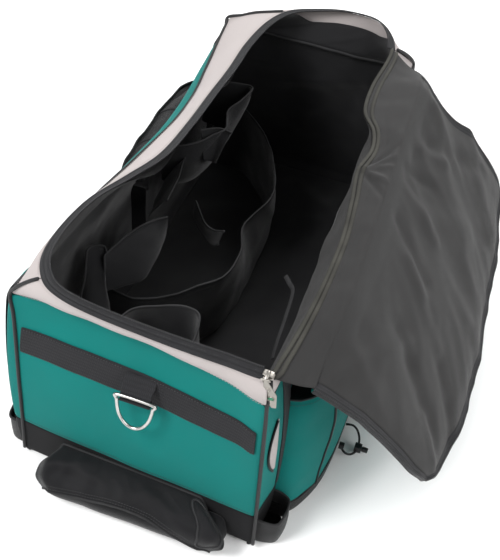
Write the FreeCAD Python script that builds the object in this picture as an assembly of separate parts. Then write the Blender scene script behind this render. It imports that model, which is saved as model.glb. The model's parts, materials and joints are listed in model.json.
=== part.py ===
# Soft-sided gear bag, about 700 x 320 x 305 mm, with its zipped lid open and hanging over its right side.
# Millimetres. +X is the bag's right, +Y runs from the front end to the rear end, +Z is up.
# The origin is at the centre of the base's resting face.
import FreeCAD, Part
import math
import os

V = FreeCAD.Vector

# ---- driving dimensions ----
BAG_LENGTH = 696.0          # outside, at the base
BASE_HALF_WIDTH = 161.0
SHOULDER_Z = 264.0          # where the wall panels meet the sloping yokes
SHOULDER_HALF_LEFT = 147.0
SHOULDER_HALF_RIGHT = 152.0
END_LEAN = 8.0              # how far each end leans in by shoulder height
FRONT_SKEW = 0.04           # the front end is a little out of square
MOUTH_Z = 302.0
MOUTH = {"front_left": (-146.0, -328.0), "front_right": (152.0, -338.0),
         "rear_right": (126.0, 326.0), "rear_left": (-72.0, 331.0)}
BAND_TOP = 64.0             # top of the black base band

FABRIC = 2.0
BOARD = 4.0
LINING = 1.5
BOARD_OUT = FABRIC
LINING_OUT = FABRIC + BOARD
CAVITY_IN = FABRIC + BOARD + LINING

WEBBING = 38.0
WEBBING_THICK = 1.8
WEBBING_Z = 182.0           # lower edge of the band across each end
TAPE_WIDTH = 14.0
TAPE_THICK = 1.0
PIPING_R = 2.6

HINGE_FRONT = V(158.0, -332.0, 307.0)
HINGE_REAR = V(132.0, 312.0, 307.0)
STRIP_WIDTH = 45.0          # hinge strip, from the seam to the fold
STRIP_REST = 6.0            # degrees above level, pointing outwards
LID_REST = -46.0            # degrees, the draped lid's slope
LID_INSET = 12.0            # lid edge inside the mouth outline
LID_REAR_LEFT = (-136.0, 318.0)   # the lid is cut square, while the open mouth's left edge sags in
LID_LAYERS = (("lid_outer", 1.5), ("lid_foam", 4.0), ("lid_lining", 1.5))
FOLD_GAP = 3.8

CORNERS = ("front_left", "front_right", "rear_right", "rear_left")
SIDES = {"front": ("front_left", "front_right"), "right": ("front_right", "rear_right"),
         "rear": ("rear_right", "rear_left"), "left": ("rear_left", "front_left")}
INWARD = {"front_left": (1, 1), "front_right": (-1, 1), "rear_right": (-1, -1), "rear_left": (1, -1)}


def save(name, shape):
    solids = shape.Solids
    assert solids and all(s.isValid() and s.Volume > 0 for s in solids), name
    shape.exportStep("parts/%s.step" % name)
    print("%-26s solids %d  volume %10.0f" % (name, len(solids), shape.Volume))


# ---- outline of the bag at any height ----
def corner(name, z, inset=0.0):
    """A corner of the outline at height z, moved in by inset."""
    side = 1 if "right" in name else -1
    end = 1 if "rear" in name else -1
    t = min(z, SHOULDER_Z) / SHOULDER_Z
    shoulder = SHOULDER_HALF_RIGHT if side > 0 else SHOULDER_HALF_LEFT
    dx, dy = INWARD[name]
    x = side * (BASE_HALF_WIDTH + (shoulder - BASE_HALF_WIDTH) * t)
    y = end * (BAG_LENGTH / 2 - END_LEAN * t)
    if end < 0:
        y -= FRONT_SKEW * (x + dx * inset)
    if z > SHOULDER_Z:
        k = (z - SHOULDER_Z) / (MOUTH_Z - SHOULDER_Z)
        x += (MOUTH[name][0] - x) * k
        y += (MOUTH[name][1] - y) * k
    return V(x + dx * inset, y + dy * inset, z)


def face(points):
    return Part.Face(Part.makePolygon(points + [points[0]]))


def quad(points):
    """One flat face, or two triangles split from its lowest, foremost corner."""
    a, b, c, d = points
    normal = (b - a).cross(c - a)
    if abs(normal.dot(d - a)) < 1e-6 * max(1.0, normal.Length):
        return [face(points)]
    first = min(range(4), key=lambda i: (round(points[i].z, 3), round(points[i].y, 3), points[i].x))
    p = [points[(first + i) % 4] for i in range(4)]
    return [face([p[0], p[1], p[2]]), face([p[0], p[2], p[3]])]


def block(low, high):
    """Solid between two matching rings of four points."""
    faces = quad(low) + quad(high)
    for i in range(4):
        j = (i + 1) % 4
        faces += quad([low[i], low[j], high[j], high[i]])
    solid = Part.Solid(Part.Shell(faces))
    if solid.Volume < 0:
        solid.reverse()
    return solid


def wall(side, z0, z1, out0, in0, out1=None, in1=None):
    """A wall layer from z0 to z1, between insets out and in, mitred at the corners."""
    out1 = out0 if out1 is None else out1
    in1 = in0 if in1 is None else in1
    a, b = SIDES[side]
    low = [corner(a, z0, out0), corner(b, z0, out0), corner(b, z0, in0), corner(a, z0, in0)]
    high = [corner(a, z1, out1), corner(b, z1, out1), corner(b, z1, in1), corner(a, z1, in1)]
    return block(low, high)


def full_ring(z0, z1, inset):
    return block([corner(c, z0, inset) for c in CORNERS], [corner(c, z1, inset) for c in CORNERS])


def patch(side, u0, u1, z0, z1, d0, d1):
    """A plate on a wall's face: u along it in mm from its middle, d outwards."""
    a, b = SIDES[side]

    def at(u, z, d):
        p, q = corner(a, z), corner(b, z)
        along = (q - p).normalize()
        outward = along.cross(V(0, 0, 1))
        return (p + q) * 0.5 + along * u + outward * d

    low = [at(u0, z0, d0), at(u1, z0, d0), at(u1, z0, d1), at(u0, z0, d1)]
    high = [at(u0, z1, d0), at(u1, z1, d0), at(u1, z1, d1), at(u0, z1, d1)]
    return block(low, high)


def prism(points, z0, z1):
    """A plan outline given as (x, y) pairs, raised from z0 to z1."""
    return face([V(x, y, z0) for x, y in points]).extrude(V(0, 0, z1 - z0))


def tray(points, z0, z1, skin=FABRIC, open_top=True):
    """A hollow prism with a floor and an open top."""
    outer = prism(points, z0, z1)
    wire = Part.makePolygon([V(x, y, z0) for x, y in points + [points[0]]])
    inner = Part.Face(wire.makeOffset2D(-skin)).extrude(V(0, 0, z1 - z0))
    inner.translate(V(0, 0, skin if open_top else 0))
    return outer.cut(inner)


# ---- shell of the bag ----
def shell():
    save("floor_skin", full_ring(0, FABRIC, 0))
    save("base_board", full_ring(FABRIC, FABRIC + BOARD, FABRIC))
    save("lining_floor", full_ring(LINING_OUT, CAVITY_IN, LINING_OUT))
    for side in SIDES:
        save("base_band_%s" % side, wall(side, FABRIC, BAND_TOP, 0, FABRIC))
        save("panel_%s" % side, wall(side, BAND_TOP, SHOULDER_Z, 0, FABRIC))
        save("yoke_%s" % side, wall(side, SHOULDER_Z, MOUTH_Z, 0, FABRIC))
        save("stiffener_%s" % side, wall(side, LINING_OUT, SHOULDER_Z - 3, BOARD_OUT, LINING_OUT))
        lower = wall(side, CAVITY_IN, SHOULDER_Z, LINING_OUT, CAVITY_IN)
        upper = wall(side, SHOULDER_Z, MOUTH_Z, LINING_OUT, CAVITY_IN, FABRIC + 0.6, FABRIC + 2.1)
        save("lining_%s" % side, lower.fuse(upper))


def corner_piping():
    """A corded seam up each vertical corner, standing just off the panels."""
    cords = []
    for name in CORNERS:
        dx, dy = INWARD[name]
        off = V(-dx, -dy, 0).normalize() * (PIPING_R + 0.1)
        foot = corner(name, 3) + off
        neck = corner(name, SHOULDER_Z) + off
        cord = Part.makeCylinder(PIPING_R, (neck - foot).Length, foot, neck - foot)
        cords.append(cord)
    save("corner_piping", Part.makeCompound(cords))


def zip_tape():
    """The mouth's half of the zip, flat on the yokes' top edge on three sides."""
    strips = []
    for side in ("rear", "left", "front"):
        strips.append(wall(side, MOUTH_Z, MOUTH_Z + TAPE_THICK, 0, TAPE_WIDTH))
    tape = strips[0].fuse(strips[1]).fuse(strips[2])
    save("zip_tape", tape.removeSplitter())


# ---- outer pouches, cut to the body so that they lie against it ----
POUCH_FACE_RIGHT = 221.0
POUCH_FACE_LEFT = 200.0
RIGHT_POUCH = [(140, -295), (186, -292), (209, -262), (POUCH_FACE_RIGHT, -215), (POUCH_FACE_RIGHT, 180),
               (209, 235), (186, 262), (140, 265)]
RIGHT_POUCH_Z = (3.0, 205.0)
LEFT_POUCH = [(-140, 16), (-182, 20), (-196, 44), (-POUCH_FACE_LEFT, 90), (-POUCH_FACE_LEFT, 215),
              (-194, 262), (-182, 288), (-140, 292)]
LEFT_POUCH_Z = (3.0, 172.0)
CORNER_POCKET = [(140, -345), (180, -344), (189, -334), (191, -312), (186, -299), (140, -298)]
CORNER_POCKET_Z = (2.0, 58.0)
END_POUCH_HALF = 128.0
END_POUCH_FRONT = -398.0
END_POUCH_TOP = 44.0
END_POUCH_BEVEL = 14.0


def outer_pouches(body):
    save("right_pouch", tray(RIGHT_POUCH, *RIGHT_POUCH_Z).cut(body))
    save("left_pouch", tray(LEFT_POUCH, *LEFT_POUCH_Z).cut(body))
    save("corner_pocket_right", tray(CORNER_POCKET, *CORNER_POCKET_Z).cut(body))
    set_back = 2 * FRONT_SKEW * BASE_HALF_WIDTH
    mirrored = [(-x, y + set_back) for x, y in CORNER_POCKET][::-1]
    save("corner_pocket_left", tray(mirrored, *CORNER_POCKET_Z).cut(body))
    half, front = END_POUCH_HALF, END_POUCH_FRONT
    bevel = END_POUCH_BEVEL
    plan = [(half, -330), (half, front + bevel), (half - bevel, front), (bevel - half, front),
            (-half, front + bevel), (-half, -330)]
    save("end_pouch", tray(plan, FABRIC, END_POUCH_TOP).cut(body))


FLAP_HINGE_Y = -354.0
FLAP_HINGE_Z = 61.0
LEFT_FLAP_X = -154.5
LEFT_FLAP_Z = 184.0


def bent_plate(profile, thick, direction, length):
    """A plate that follows a profile of points, thickened along its own normals."""
    solids = []
    for p, q in zip(profile, profile[1:]):
        run = (q - p).normalize()
        normal = run.cross(direction).normalize() * (thick / 2)
        lap = run * (thick / 2)
        start, end = p - lap, q + lap
        base = face([start + normal, end + normal, end - normal, start - normal])
        solids.append(base.extrude(direction * length))
    shape = solids[0]
    for s in solids[1:]:
        shape = shape.fuse(s)
    return shape.removeSplitter()


def flaps():
    half = END_POUCH_HALF + 3
    fold = [(FLAP_HINGE_Y - 1.5, FLAP_HINGE_Z), (-380, 58), (-400, 48), (-404, 30)]
    save("end_pouch_flap", bent_plate([V(-half, y, z) for y, z in fold], FABRIC, V(1, 0, 0), 2 * half))
    y0, y1 = LEFT_POUCH[0][1] - 1.0, LEFT_POUCH[-1][1] + 1.0
    fold = [(LEFT_FLAP_X - 1.5, LEFT_FLAP_Z), (-188, 181), (-204, 172), (-205, 158)]
    save("left_pouch_flap", bent_plate([V(x, y0, z) for x, z in fold], FABRIC, V(0, 1, 0), y1 - y0))


# ---- inner pockets, trimmed to the lining ----
INNER_POCKETS = {
    "inner_pocket_long": ([(-170, -160), (-80, -158), (-4, -90), (10, 20), (10, 130), (-30, 230), (-90, 292),
                           (-170, 294)], 9.0, 140.0),
    "inner_pocket_small": ([(-170, -204), (-104, -200), (-68, -140), (-80, -58), (-170, -54)], 148.0, 205.0),
    "inner_pocket_upper": ([(-170, 62), (-92, 58), (-62, 92), (-58, 212), (-170, 222)], 150.0, 235.0),
    "inner_pocket_front": ([(-70, -370), (60, -370), (40, -242), (-48, -250)], 150.0, 235.0),
}
POCKET_SKIN = 1.5
LOOP_PLAN = [(-165, -22), (-62, -18), (-62, 22), (-165, 26)]
LOOP_Z = (150.0, 172.0)


def inner_pockets():
    cavity = full_ring(CAVITY_IN, SHOULDER_Z, CAVITY_IN)
    for name, (plan, z0, z1) in INNER_POCKETS.items():
        save(name, tray(plan, z0, z1, POCKET_SKIN).common(cavity))
    loop = tray(LOOP_PLAN, *LOOP_Z, POCKET_SKIN, open_top=False)
    save("inner_loop", loop.common(cavity))


# ---- webbing, rings and handles ----
RING_HALF = 23.0
RING_WIRE = 2.6
RING_DROP = 43.0
RING_TAB_HALF = 19.0
RING_STAND = 4.2            # room behind the hanging ring
RING_Z = 203.0


def end_webbing():
    for side in ("front", "rear"):
        a, b = SIDES[side]
        half = (corner(b, WEBBING_Z) - corner(a, WEBBING_Z)).Length / 2 - 7
        save("webbing_%s" % side, patch(side, -half, half, WEBBING_Z, WEBBING_Z + WEBBING, 0, WEBBING_THICK))


def ring_and_tab(side, sign):
    """A D-ring hanging from a folded tab that is sewn to the end webbing."""
    a, b = SIDES[side]
    middle = (corner(a, RING_Z) + corner(b, RING_Z)) * 0.5
    pivot = middle + V(0, sign * (WEBBING_THICK + RING_WIRE + RING_STAND), 0)
    bore = RING_WIRE + 0.4
    sleeve = Part.makeCylinder(bore + 1.8, 2 * RING_TAB_HALF, pivot - V(RING_TAB_HALF, 0, 0), V(1, 0, 0))
    behind = patch(side, -RING_TAB_HALF, RING_TAB_HALF, RING_Z - 3, RING_Z + 16,
                   WEBBING_THICK, WEBBING_THICK + 3.4)
    tunnel = Part.makeCylinder(bore, 2 * RING_TAB_HALF + 2, pivot - V(RING_TAB_HALF + 1, 0, 0), V(1, 0, 0))
    keep_out = patch(side, -60, 60, RING_Z - 40, RING_Z + 40, -20, WEBBING_THICK)
    save("ring_tab_%s" % side, sleeve.fuse(behind).cut(tunnel).cut(keep_out).removeSplitter())
    # the ring hangs straight down from its bar
    top_l, top_r = pivot + V(-RING_HALF, 0, 0), pivot + V(RING_HALF, 0, 0)
    legs = V(0, 0, RING_HALF - RING_DROP)
    low_l, low_r = top_l + legs, top_r + legs
    bottom = pivot + V(0, 0, -RING_DROP)
    arc = Part.Arc(low_l, bottom, low_r).toShape()
    bow = Part.Wire([Part.makeLine(top_l, low_l), arc, Part.makeLine(low_r, top_r)])
    wire = bow.makePipeShell([Part.Wire(Part.makeCircle(RING_WIRE, top_l, V(0, 0, 1)))], True, True)
    bar = Part.makeCylinder(RING_WIRE, 2 * RING_HALF, top_l, V(1, 0, 0))
    ends = Part.makeSphere(RING_WIRE, top_l).fuse(Part.makeSphere(RING_WIRE, top_r))
    save("d_ring_%s" % side, wire.fuse(bar).fuse(ends).removeSplitter())
    print("  pivot", side, pivot)


STRAP_WIDTH = 25.0
HANDLE_HALF = 75.0
HANDLE_TOP = 148.0
HANDLE_DROP = 112.0
HANDLE_THICK = 2.5
POUCH_STRAP = 1.8
HANDLE_MITRE = 22.0
GRIP_HALF = 48.0
GRIP_THICK = 9.0
BODY_STRAP_AT = 306.0       # from the middle of each side


def handle_x(side):
    """Outer face of the pouch that a side's handle hangs on."""
    return POUCH_FACE_RIGHT if side > 0 else -POUCH_FACE_LEFT


def handle_middle(side):
    return -20.0 if side > 0 else 152.0


def slab(side, x0, thick, y0, y1, z0, z1):
    """A box that stands out by thick from x0, towards the given side."""
    return Part.makeBox(thick, y1 - y0, z1 - z0, V(min(x0, x0 + side * thick), y0, z0))


def side_straps():
    half = STRAP_WIDTH / 2
    strips = []
    for side, name in ((1, "right"), (-1, "left")):
        for end in (-1, 1):
            u = side * end * BODY_STRAP_AT
            strips.append(patch(name, u - half, u + half, BAND_TOP + 4, SHOULDER_Z, 0, WEBBING_THICK))
            y = handle_middle(side) + end * HANDLE_HALF
            strips.append(slab(side, handle_x(side), POUCH_STRAP, y - half, y + half, 5, HANDLE_TOP + 2))
    save("side_straps", Part.makeCompound(strips))


def handles():
    """Webbing loops that hang flat on the pouches, each with a wrapped grip on its lower run."""
    half = HANDLE_HALF + STRAP_WIDTH / 2
    low = HANDLE_TOP - HANDLE_DROP
    for side, name in ((1, "right"), (-1, "left")):
        x0 = handle_x(side) + side * (POUCH_STRAP + 1.7)
        middle = handle_middle(side)
        loop = slab(side, x0, HANDLE_THICK, middle - half, middle + half, low, HANDLE_TOP)
        inside = slab(side, x0 - side * 15, 30, middle - half + STRAP_WIDTH, middle + half - STRAP_WIDTH,
                      low + STRAP_WIDTH, HANDLE_TOP + 1)
        loop = loop.cut(inside)
        for end in (-1, 1):
            tip = V(x0 - 15, middle + end * (half + 1), low - 1)
            cut_off = face([tip, tip + V(0, -end * HANDLE_MITRE, 0), tip + V(0, 0, HANDLE_MITRE)])
            loop = loop.cut(cut_off.extrude(V(30, 0, 0)))
        grip = slab(side, handle_x(side) + side, GRIP_THICK, middle - GRIP_HALF, middle + GRIP_HALF,
                    low - 4.5, low + STRAP_WIDTH + 4.5)
        core = loop.common(slab(side, x0 - side * 15, 30, middle - 100, middle + 100, low, low + STRAP_WIDTH))
        save("handle_%s" % name, loop)
        save("handle_grip_%s" % name, grip.cut(core))
        print("  pivot", name, x0 + side * HANDLE_THICK / 2, HANDLE_TOP)


# ---- lid: hinge strip, then three layers, drawn closed and turned to rest ----
def lid_axes():
    along = (HINGE_REAR - HINGE_FRONT).normalize()
    outward = along.cross(V(0, 0, 1))
    return along, outward


def closed_point(s, w, lift=0.0):
    along, outward = lid_axes()
    return HINGE_FRONT + along * s - outward * w + V(0, 0, lift)


def inset_outline():
    """The mouth outline moved in by the lid's inset, as (along, across) pairs."""
    along, outward = lid_axes()
    pairs = []
    for name in CORNERS:
        dx, dy = INWARD[name]
        x, y = MOUTH[name][0] + dx * LID_INSET, MOUTH[name][1] + dy * LID_INSET
        if name == "rear_left":
            x, y = LID_REAR_LEFT
        p = V(x, y, HINGE_FRONT.z) - HINGE_FRONT
        pairs.append((p.dot(along), -p.dot(outward)))
    return dict(zip(CORNERS, pairs))


def lid_plan():
    """Lid outline when shut, with its three free corners cut off."""
    c = inset_outline()
    near = STRIP_WIDTH + FOLD_GAP
    fl, rl, rr, fr = c["front_left"], c["rear_left"], c["rear_right"], c["front_right"]

    def between(p, q, distance):
        d = math.hypot(q[0] - p[0], q[1] - p[1])
        return (p[0] + (q[0] - p[0]) * distance / d, p[1] + (q[1] - p[1]) * distance / d)

    def on_line(p, q, w):
        k = (w - p[1]) / (q[1] - p[1])
        return (p[0] + (q[0] - p[0]) * k, w)

    return [on_line(fr, fl, near), between(fl, fr, 52), between(fl, fr, 18), between(fl, rl, 18),
            between(fl, rl, 52), between(rl, fl, 44), between(rl, fl, 14), between(rl, rr, 14),
            between(rl, rr, 44), on_line(rr, rl, near)]


def to_rest(shape, is_lid):
    """Turn a closed piece back to the open, draped pose."""
    along, outward = lid_axes()
    fold = closed_point(0, STRIP_WIDTH)
    shape = shape.copy()
    if is_lid:
        shape.rotate(fold, along, STRIP_REST - LID_REST)
    shape.rotate(HINGE_FRONT, along, 180.0 - STRIP_REST)
    return shape


def lid():
    length = (HINGE_REAR - HINGE_FRONT).Length
    plan = [(2, 1.6), (2, STRIP_WIDTH - 1.6), (length - 2, STRIP_WIDTH - 1.6), (length - 2, 1.6)]
    strip = face([closed_point(s, w, -1.0) for s, w in plan]).extrude(V(0, 0, 2.0))
    save("hinge_strip", to_rest(strip, False))
    total = sum(t for _, t in LID_LAYERS)
    lift = total / 2
    outline = lid_plan()
    wire = Part.makePolygon([closed_point(s, w) for s, w in outline + [outline[0]]])
    for name, thick in LID_LAYERS:
        shape = Part.Face(wire).extrude(V(0, 0, thick))
        shape.translate(V(0, 0, lift - thick))
        save(name, to_rest(shape, True))
        lift -= thick
    rim = Part.Face(wire.makeOffset2D(3.0)).cut(Part.Face(wire)).extrude(V(0, 0, 3.0))
    rim.translate(V(0, 0, -1.5))
    near = STRIP_WIDTH + FOLD_GAP
    hinge_side = [closed_point(s, w, -5) for s, w in ((-60, -10), (-60, near), (760, near), (760, -10))]
    rim = rim.cut(face(hinge_side).extrude(V(0, 0, 10)))
    save("lid_zip_tape", to_rest(rim, True))
    rest_fold = to_rest(Part.Vertex(closed_point(0, STRIP_WIDTH)), False)
    print("  fold", rest_fold.Point, "axis", lid_axes()[0])


# ---- zip slider and its pull ----
SLIDER_X = 148.0
PULL_TILT = 17.0
PIN_R = 0.9
PIN_REACH = 4.0
LUG_HALF = 1.2
EYE_R = 2.2


def zip_hardware():
    start = V(*MOUTH["front_right"], MOUTH_Z)
    travel = (V(*MOUTH["front_left"], MOUTH_Z) - start).normalize()
    across = travel.cross(V(0, 0, 1)) * -1
    if across.y > 0:
        across = across * -1
    centre = start + travel * (start.x - SLIDER_X)
    base_z = MOUTH_Z + TAPE_THICK + 0.4

    def brick(l0, l1, a0, a1, z0, z1):
        pts = [(l0, a0), (l1, a0), (l1, a1), (l0, a1)]
        ring = [centre + travel * l + across * a for l, a in pts]
        return face([V(p.x, p.y, z0) for p in ring]).extrude(V(0, 0, z1 - z0))

    pivot = centre + across * 9.0
    pivot.z = base_z + 3.4
    plate = brick(-7, 7, -5.5, 5, base_z, base_z + 2.2)
    post = brick(-3, 3, -2, 2.5, base_z + 2.2, base_z + 3.6)
    cap = brick(-6, 6, -4.5, 4.2, base_z + 3.6, base_z + 5.4)
    lug = brick(-LUG_HALF, LUG_HALF, 4.0, 9.0, pivot.z - 1.2, pivot.z + 2.0)
    knuckle = Part.makeCylinder(2.0, 2 * LUG_HALF, pivot - travel * LUG_HALF, travel)
    pin = Part.makeCylinder(PIN_R, 2 * PIN_REACH, pivot - travel * PIN_REACH, travel)
    save("zip_slider", plate.fuse(post).fuse(cap).fuse(lug).fuse(knuckle).fuse(pin).removeSplitter())

    # a flat tab under two eyes on the pin, hanging in front of the yoke and leaning to the right
    outline = [(-4.2, -1.2), (4.2, -1.2), (4.8, -12), (8.0, -30), (8.0, -39), (5.0, -43),
               (-5.0, -43), (-8.0, -39), (-8.0, -30), (-4.8, -12)]
    tab = face([V(x, 0.8, z) for x, z in outline]).extrude(V(0, -1.6, 0))
    tab.rotate(V(0, 0, 0), V(0, 1, 0), -PULL_TILT)
    eye_span = (LUG_HALF + 0.4, PIN_REACH - 0.2)
    for side in (-1, 1):
        inner = V(side * eye_span[0], 0, 0)
        tab = tab.fuse(Part.makeCylinder(EYE_R, eye_span[1] - eye_span[0], inner, V(side, 0, 0)))
    swing = Part.makeCylinder(EYE_R + 0.4, 2 * eye_span[0], V(-eye_span[0], 0, 0), V(1, 0, 0))
    bore = Part.makeCylinder(PIN_R + 0.3, 20, V(-10, 0, 0), V(1, 0, 0))
    tab = tab.cut(swing).cut(bore)
    tab.rotate(V(0, 0, 0), V(0, 0, 1), math.degrees(math.atan2(-travel.y, -travel.x)))
    tab.translate(pivot)
    save("zip_pull", tab)
    print("  travel", travel, "pivot", pivot)


# ---- small tag beside the zip's end ----
def side_tag():
    """A folded label caught in the right yoke's seam, near the front corner."""
    a, b = SIDES["right"]
    z = SHOULDER_Z + 10
    p, q = corner(a, z), corner(b, z)
    along = (q - p).normalize()
    outward = along.cross(V(0, 0, 1))
    start = p + along * 14 + outward * 0.6
    ring = [start, start + along * 15, start + along * 15 + outward * 1.2, start + outward * 1.2]
    save("side_tag", face(ring).extrude(V(0, 0, 10)))


# ---- drawcord with its lock, at the foot of the right pouch ----
CORD_R = 1.5
CORD_ROUTE = [(221.4, -160, 24), (229, -157, 24.5), (237, -159, 21), (243, -165, 15), (245.5, -173.5, 9.5),
              (245, -182.5, 6.4), (241, -190, 5.2), (234, -193.5, 6.4), (227, -192, 10), (222, -187.5, 14.5)]
LOCK_MIDDLE = V(247.2, -178.5, 7.6)


def rounded_route(route):
    """Straight runs joined by tangent arcs as large as the runs allow."""
    points = [V(*p) for p in route]
    edges, radii, at = [], [], points[0]
    for a, b, c in zip(points, points[1:], points[2:]):
        back, ahead = (a - b).normalize(), (c - b).normalize()
        turn = math.pi - back.getAngle(ahead)
        cut = 0.45 * min((a - b).Length, (c - b).Length)
        radii.append(cut / math.tan(turn / 2))
        start, end = b + back * cut, b + ahead * cut
        centre_way = (back + ahead).normalize()
        middle = b + centre_way * (radii[-1] / math.cos(turn / 2) - radii[-1])
        edges.append(Part.LineSegment(at, start).toShape())
        edges.append(Part.Arc(start, middle, end).toShape())
        at = end
    edges.append(Part.LineSegment(at, points[-1]).toShape())
    return Part.Wire(edges), radii


def drawcord(pouch_face_x):
    path, radii = rounded_route(CORD_ROUTE)
    first = V(*CORD_ROUTE[0])
    heading = (V(*CORD_ROUTE[1]) - first).normalize()
    cord = path.makePipeShell([Part.Wire(Part.makeCircle(CORD_R, first, heading))], True, False)
    clear = Part.makeBox(20, 80, 60, V(pouch_face_x - 20, -210, 0))
    cord = cord.cut(clear)
    print("  cord length %.1f  volume/section %.1f  radii %s" % (
        path.Length, cord.Volume / (math.pi * CORD_R ** 2), ["%.1f" % r for r in radii]))
    # lock: a barrel that the cord passes through, with a spring button on its outer end
    body = Part.makeBox(13, 12, 12.4, V(-5, -6, -6.2))
    well = Part.makeCylinder(4.2, 8, V(0.5, 0, 0), V(1, 0, 0))
    body = body.cut(well)
    body.translate(LOCK_MIDDLE)
    body = body.cut(cord)
    button = Part.makeCylinder(3.8, 9.0, V(3.2, 0, 0), V(1, 0, 0))
    button.translate(LOCK_MIDDLE)
    clip = Part.makeBox(6.5, 9, 10, V(pouch_face_x + 0.3, -193, 9.5))
    clip = clip.cut(cord)
    save("drawcord", cord)
    save("cord_lock", body)
    save("cord_lock_button", button)
    save("cord_clip", clip)


def main():
    os.makedirs("parts", exist_ok=True)
    body = full_ring(0, SHOULDER_Z, 0)
    shell()
    corner_piping()
    zip_tape()
    outer_pouches(body)
    flaps()
    inner_pockets()
    end_webbing()
    ring_and_tab("front", -1)
    ring_and_tab("rear", 1)
    side_straps()
    handles()
    lid()
    zip_hardware()
    side_tag()
    drawcord(handle_x(1))


main()
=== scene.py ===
"""Looks of a soft gear bag whose zipped lid is open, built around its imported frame."""

import json
import math

import bmesh
import bpy
from mathutils import Matrix, Vector, noise


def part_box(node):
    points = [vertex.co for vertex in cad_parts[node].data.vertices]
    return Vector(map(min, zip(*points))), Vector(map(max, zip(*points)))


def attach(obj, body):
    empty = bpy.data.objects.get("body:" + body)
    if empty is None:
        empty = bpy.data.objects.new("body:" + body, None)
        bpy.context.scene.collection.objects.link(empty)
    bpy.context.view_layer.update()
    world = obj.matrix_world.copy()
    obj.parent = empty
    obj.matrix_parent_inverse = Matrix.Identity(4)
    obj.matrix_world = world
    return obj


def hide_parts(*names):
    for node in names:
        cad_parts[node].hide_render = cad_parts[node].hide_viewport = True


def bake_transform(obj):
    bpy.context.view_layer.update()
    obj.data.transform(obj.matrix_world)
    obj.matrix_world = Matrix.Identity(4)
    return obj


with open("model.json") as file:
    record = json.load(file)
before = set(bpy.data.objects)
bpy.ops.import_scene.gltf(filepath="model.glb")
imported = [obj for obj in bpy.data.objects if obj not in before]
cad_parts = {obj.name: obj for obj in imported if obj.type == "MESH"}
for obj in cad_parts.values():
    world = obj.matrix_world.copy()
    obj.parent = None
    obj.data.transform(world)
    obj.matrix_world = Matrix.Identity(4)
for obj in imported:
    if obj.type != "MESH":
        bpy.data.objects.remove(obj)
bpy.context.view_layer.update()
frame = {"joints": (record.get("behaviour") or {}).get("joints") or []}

bl_info = {
    "name": "Open Gear Bag",
    "version": (1, 0, 0),
    "blender": (4, 5, 0),
    "location": "View3D > Sidebar > Gear Bag",
    "description": "Sews the cloth, webbing, zips and pockets of an open gear bag around its frame",
    "category": "Object",
}

MM = 0.001
UP = Vector((0, 0, 1))


def mm(x, y, z=0.0):
    return Vector((x, y, z)) * MM


def low(node):
    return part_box(node)[0]


def high(node):
    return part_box(node)[1]


JOINTS = {joint["name"]: joint for joint in frame["joints"]}

# ---- heights and half widths, read from the frame ----
BASE_HALF = high("floor_skin").x
BAND_TOP = high("base_band_right").z
SHOULDER = high("panel_right").z
REAR_BASE = high("floor_skin").y
END_LEAN = 8 * MM
FRONT_SKEW = 0.04
SHOULDER_HALF = {"right": 152 * MM, "left": 147 * MM}
NEAR_LEFT_FLARE = Vector((-23, 26)) * MM      # how the near left shoulder is pushed out and back
NEAR_RIGHT_FOOT = 10 * MM

SIDES = {"front": ("front_left", "front_right"), "right": ("front_right", "rear_right"),
         "rear": ("rear_right", "rear_left"), "left": ("rear_left", "front_left")}
# The wall that each wall meets at its left corner, seen from outside
WALL_BEFORE = {"front": "left", "right": "front", "rear": "right", "left": "rear"}

# The mouth's rim, side by side, in millimetres. Each side starts where the one before it ends.
RIM = {
    "front": [(-128, -303, 303), (-104, -320, 304), (-60, -330, 304), (20, -337, 304), (100, -340, 304),
              (148, -340, 304)],
    "right": [(148, -340, 304), (157, -312, 305), (164, -250, 306), (167, -180, 306), (166, -110, 306),
              (158, -40, 305), (150, 15, 305), (156, 62, 305), (148, 104, 304), (126, 142, 304),
              (121, 200, 305), (126, 262, 308), (125, 292, 312)],
    "rear": [(125, 292, 312), (112, 322, 317), (84, 342, 322), (36, 348, 320), (-8, 341, 315),
             (-44, 320, 314)],
    "left": [(-44, 320, 314), (-66, 285, 309), (-77, 225, 305), (-79, 160, 302), (-83, 95, 301),
             (-86, 25, 301), (-94, -50, 301), (-116, -110, 302), (-138, -165, 303), (-147, -225, 303),
             (-144, -272, 303), (-128, -303, 303)],
}
RIM_ORDER = ("front", "right", "rear", "left")


# ---- smooth lines ----
def spline(points, closed=False, steps=8):
    """Points on a smooth line through a few given ones."""
    last = len(points)
    result = []
    for i in range(last if closed else last - 1):
        if closed:
            a, b, c, d = (points[(i + k) % last] for k in (-1, 0, 1, 2))
        else:
            a, b, c, d = (points[min(max(i + k, 0), last - 1)] for k in (-1, 0, 1, 2))
        for step in range(steps):
            t = step / steps
            result.append(0.5 * (2 * b + (c - a) * t + (2 * a - 5 * b + 4 * c - d) * t ** 2
                                 + (3 * b - a - 3 * c + d) * t ** 3))
    return result if closed else result + [points[-1].copy()]


class Line:
    """A row of points that is read by its share of the whole length."""

    def __init__(self, points):
        self.points = points
        self.marks = [0.0]
        for p, q in zip(points, points[1:]):
            self.marks.append(self.marks[-1] + (q - p).length)
        self.length = self.marks[-1]

    def at(self, share):
        want = min(max(share, 0.0), 1.0) * self.length
        i = 1
        while i < len(self.marks) - 1 and self.marks[i] < want:
            i += 1
        span = self.marks[i] - self.marks[i - 1]
        return self.points[i - 1].lerp(self.points[i], (want - self.marks[i - 1]) / span if span else 0.0)

    def heading(self, share):
        return (self.at(share + 0.004) - self.at(share - 0.004)).normalized()

    def spaced(self, pitch):
        count = max(2, round(self.length / pitch))
        return [self.at(i / count) for i in range(count + 1)]


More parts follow.
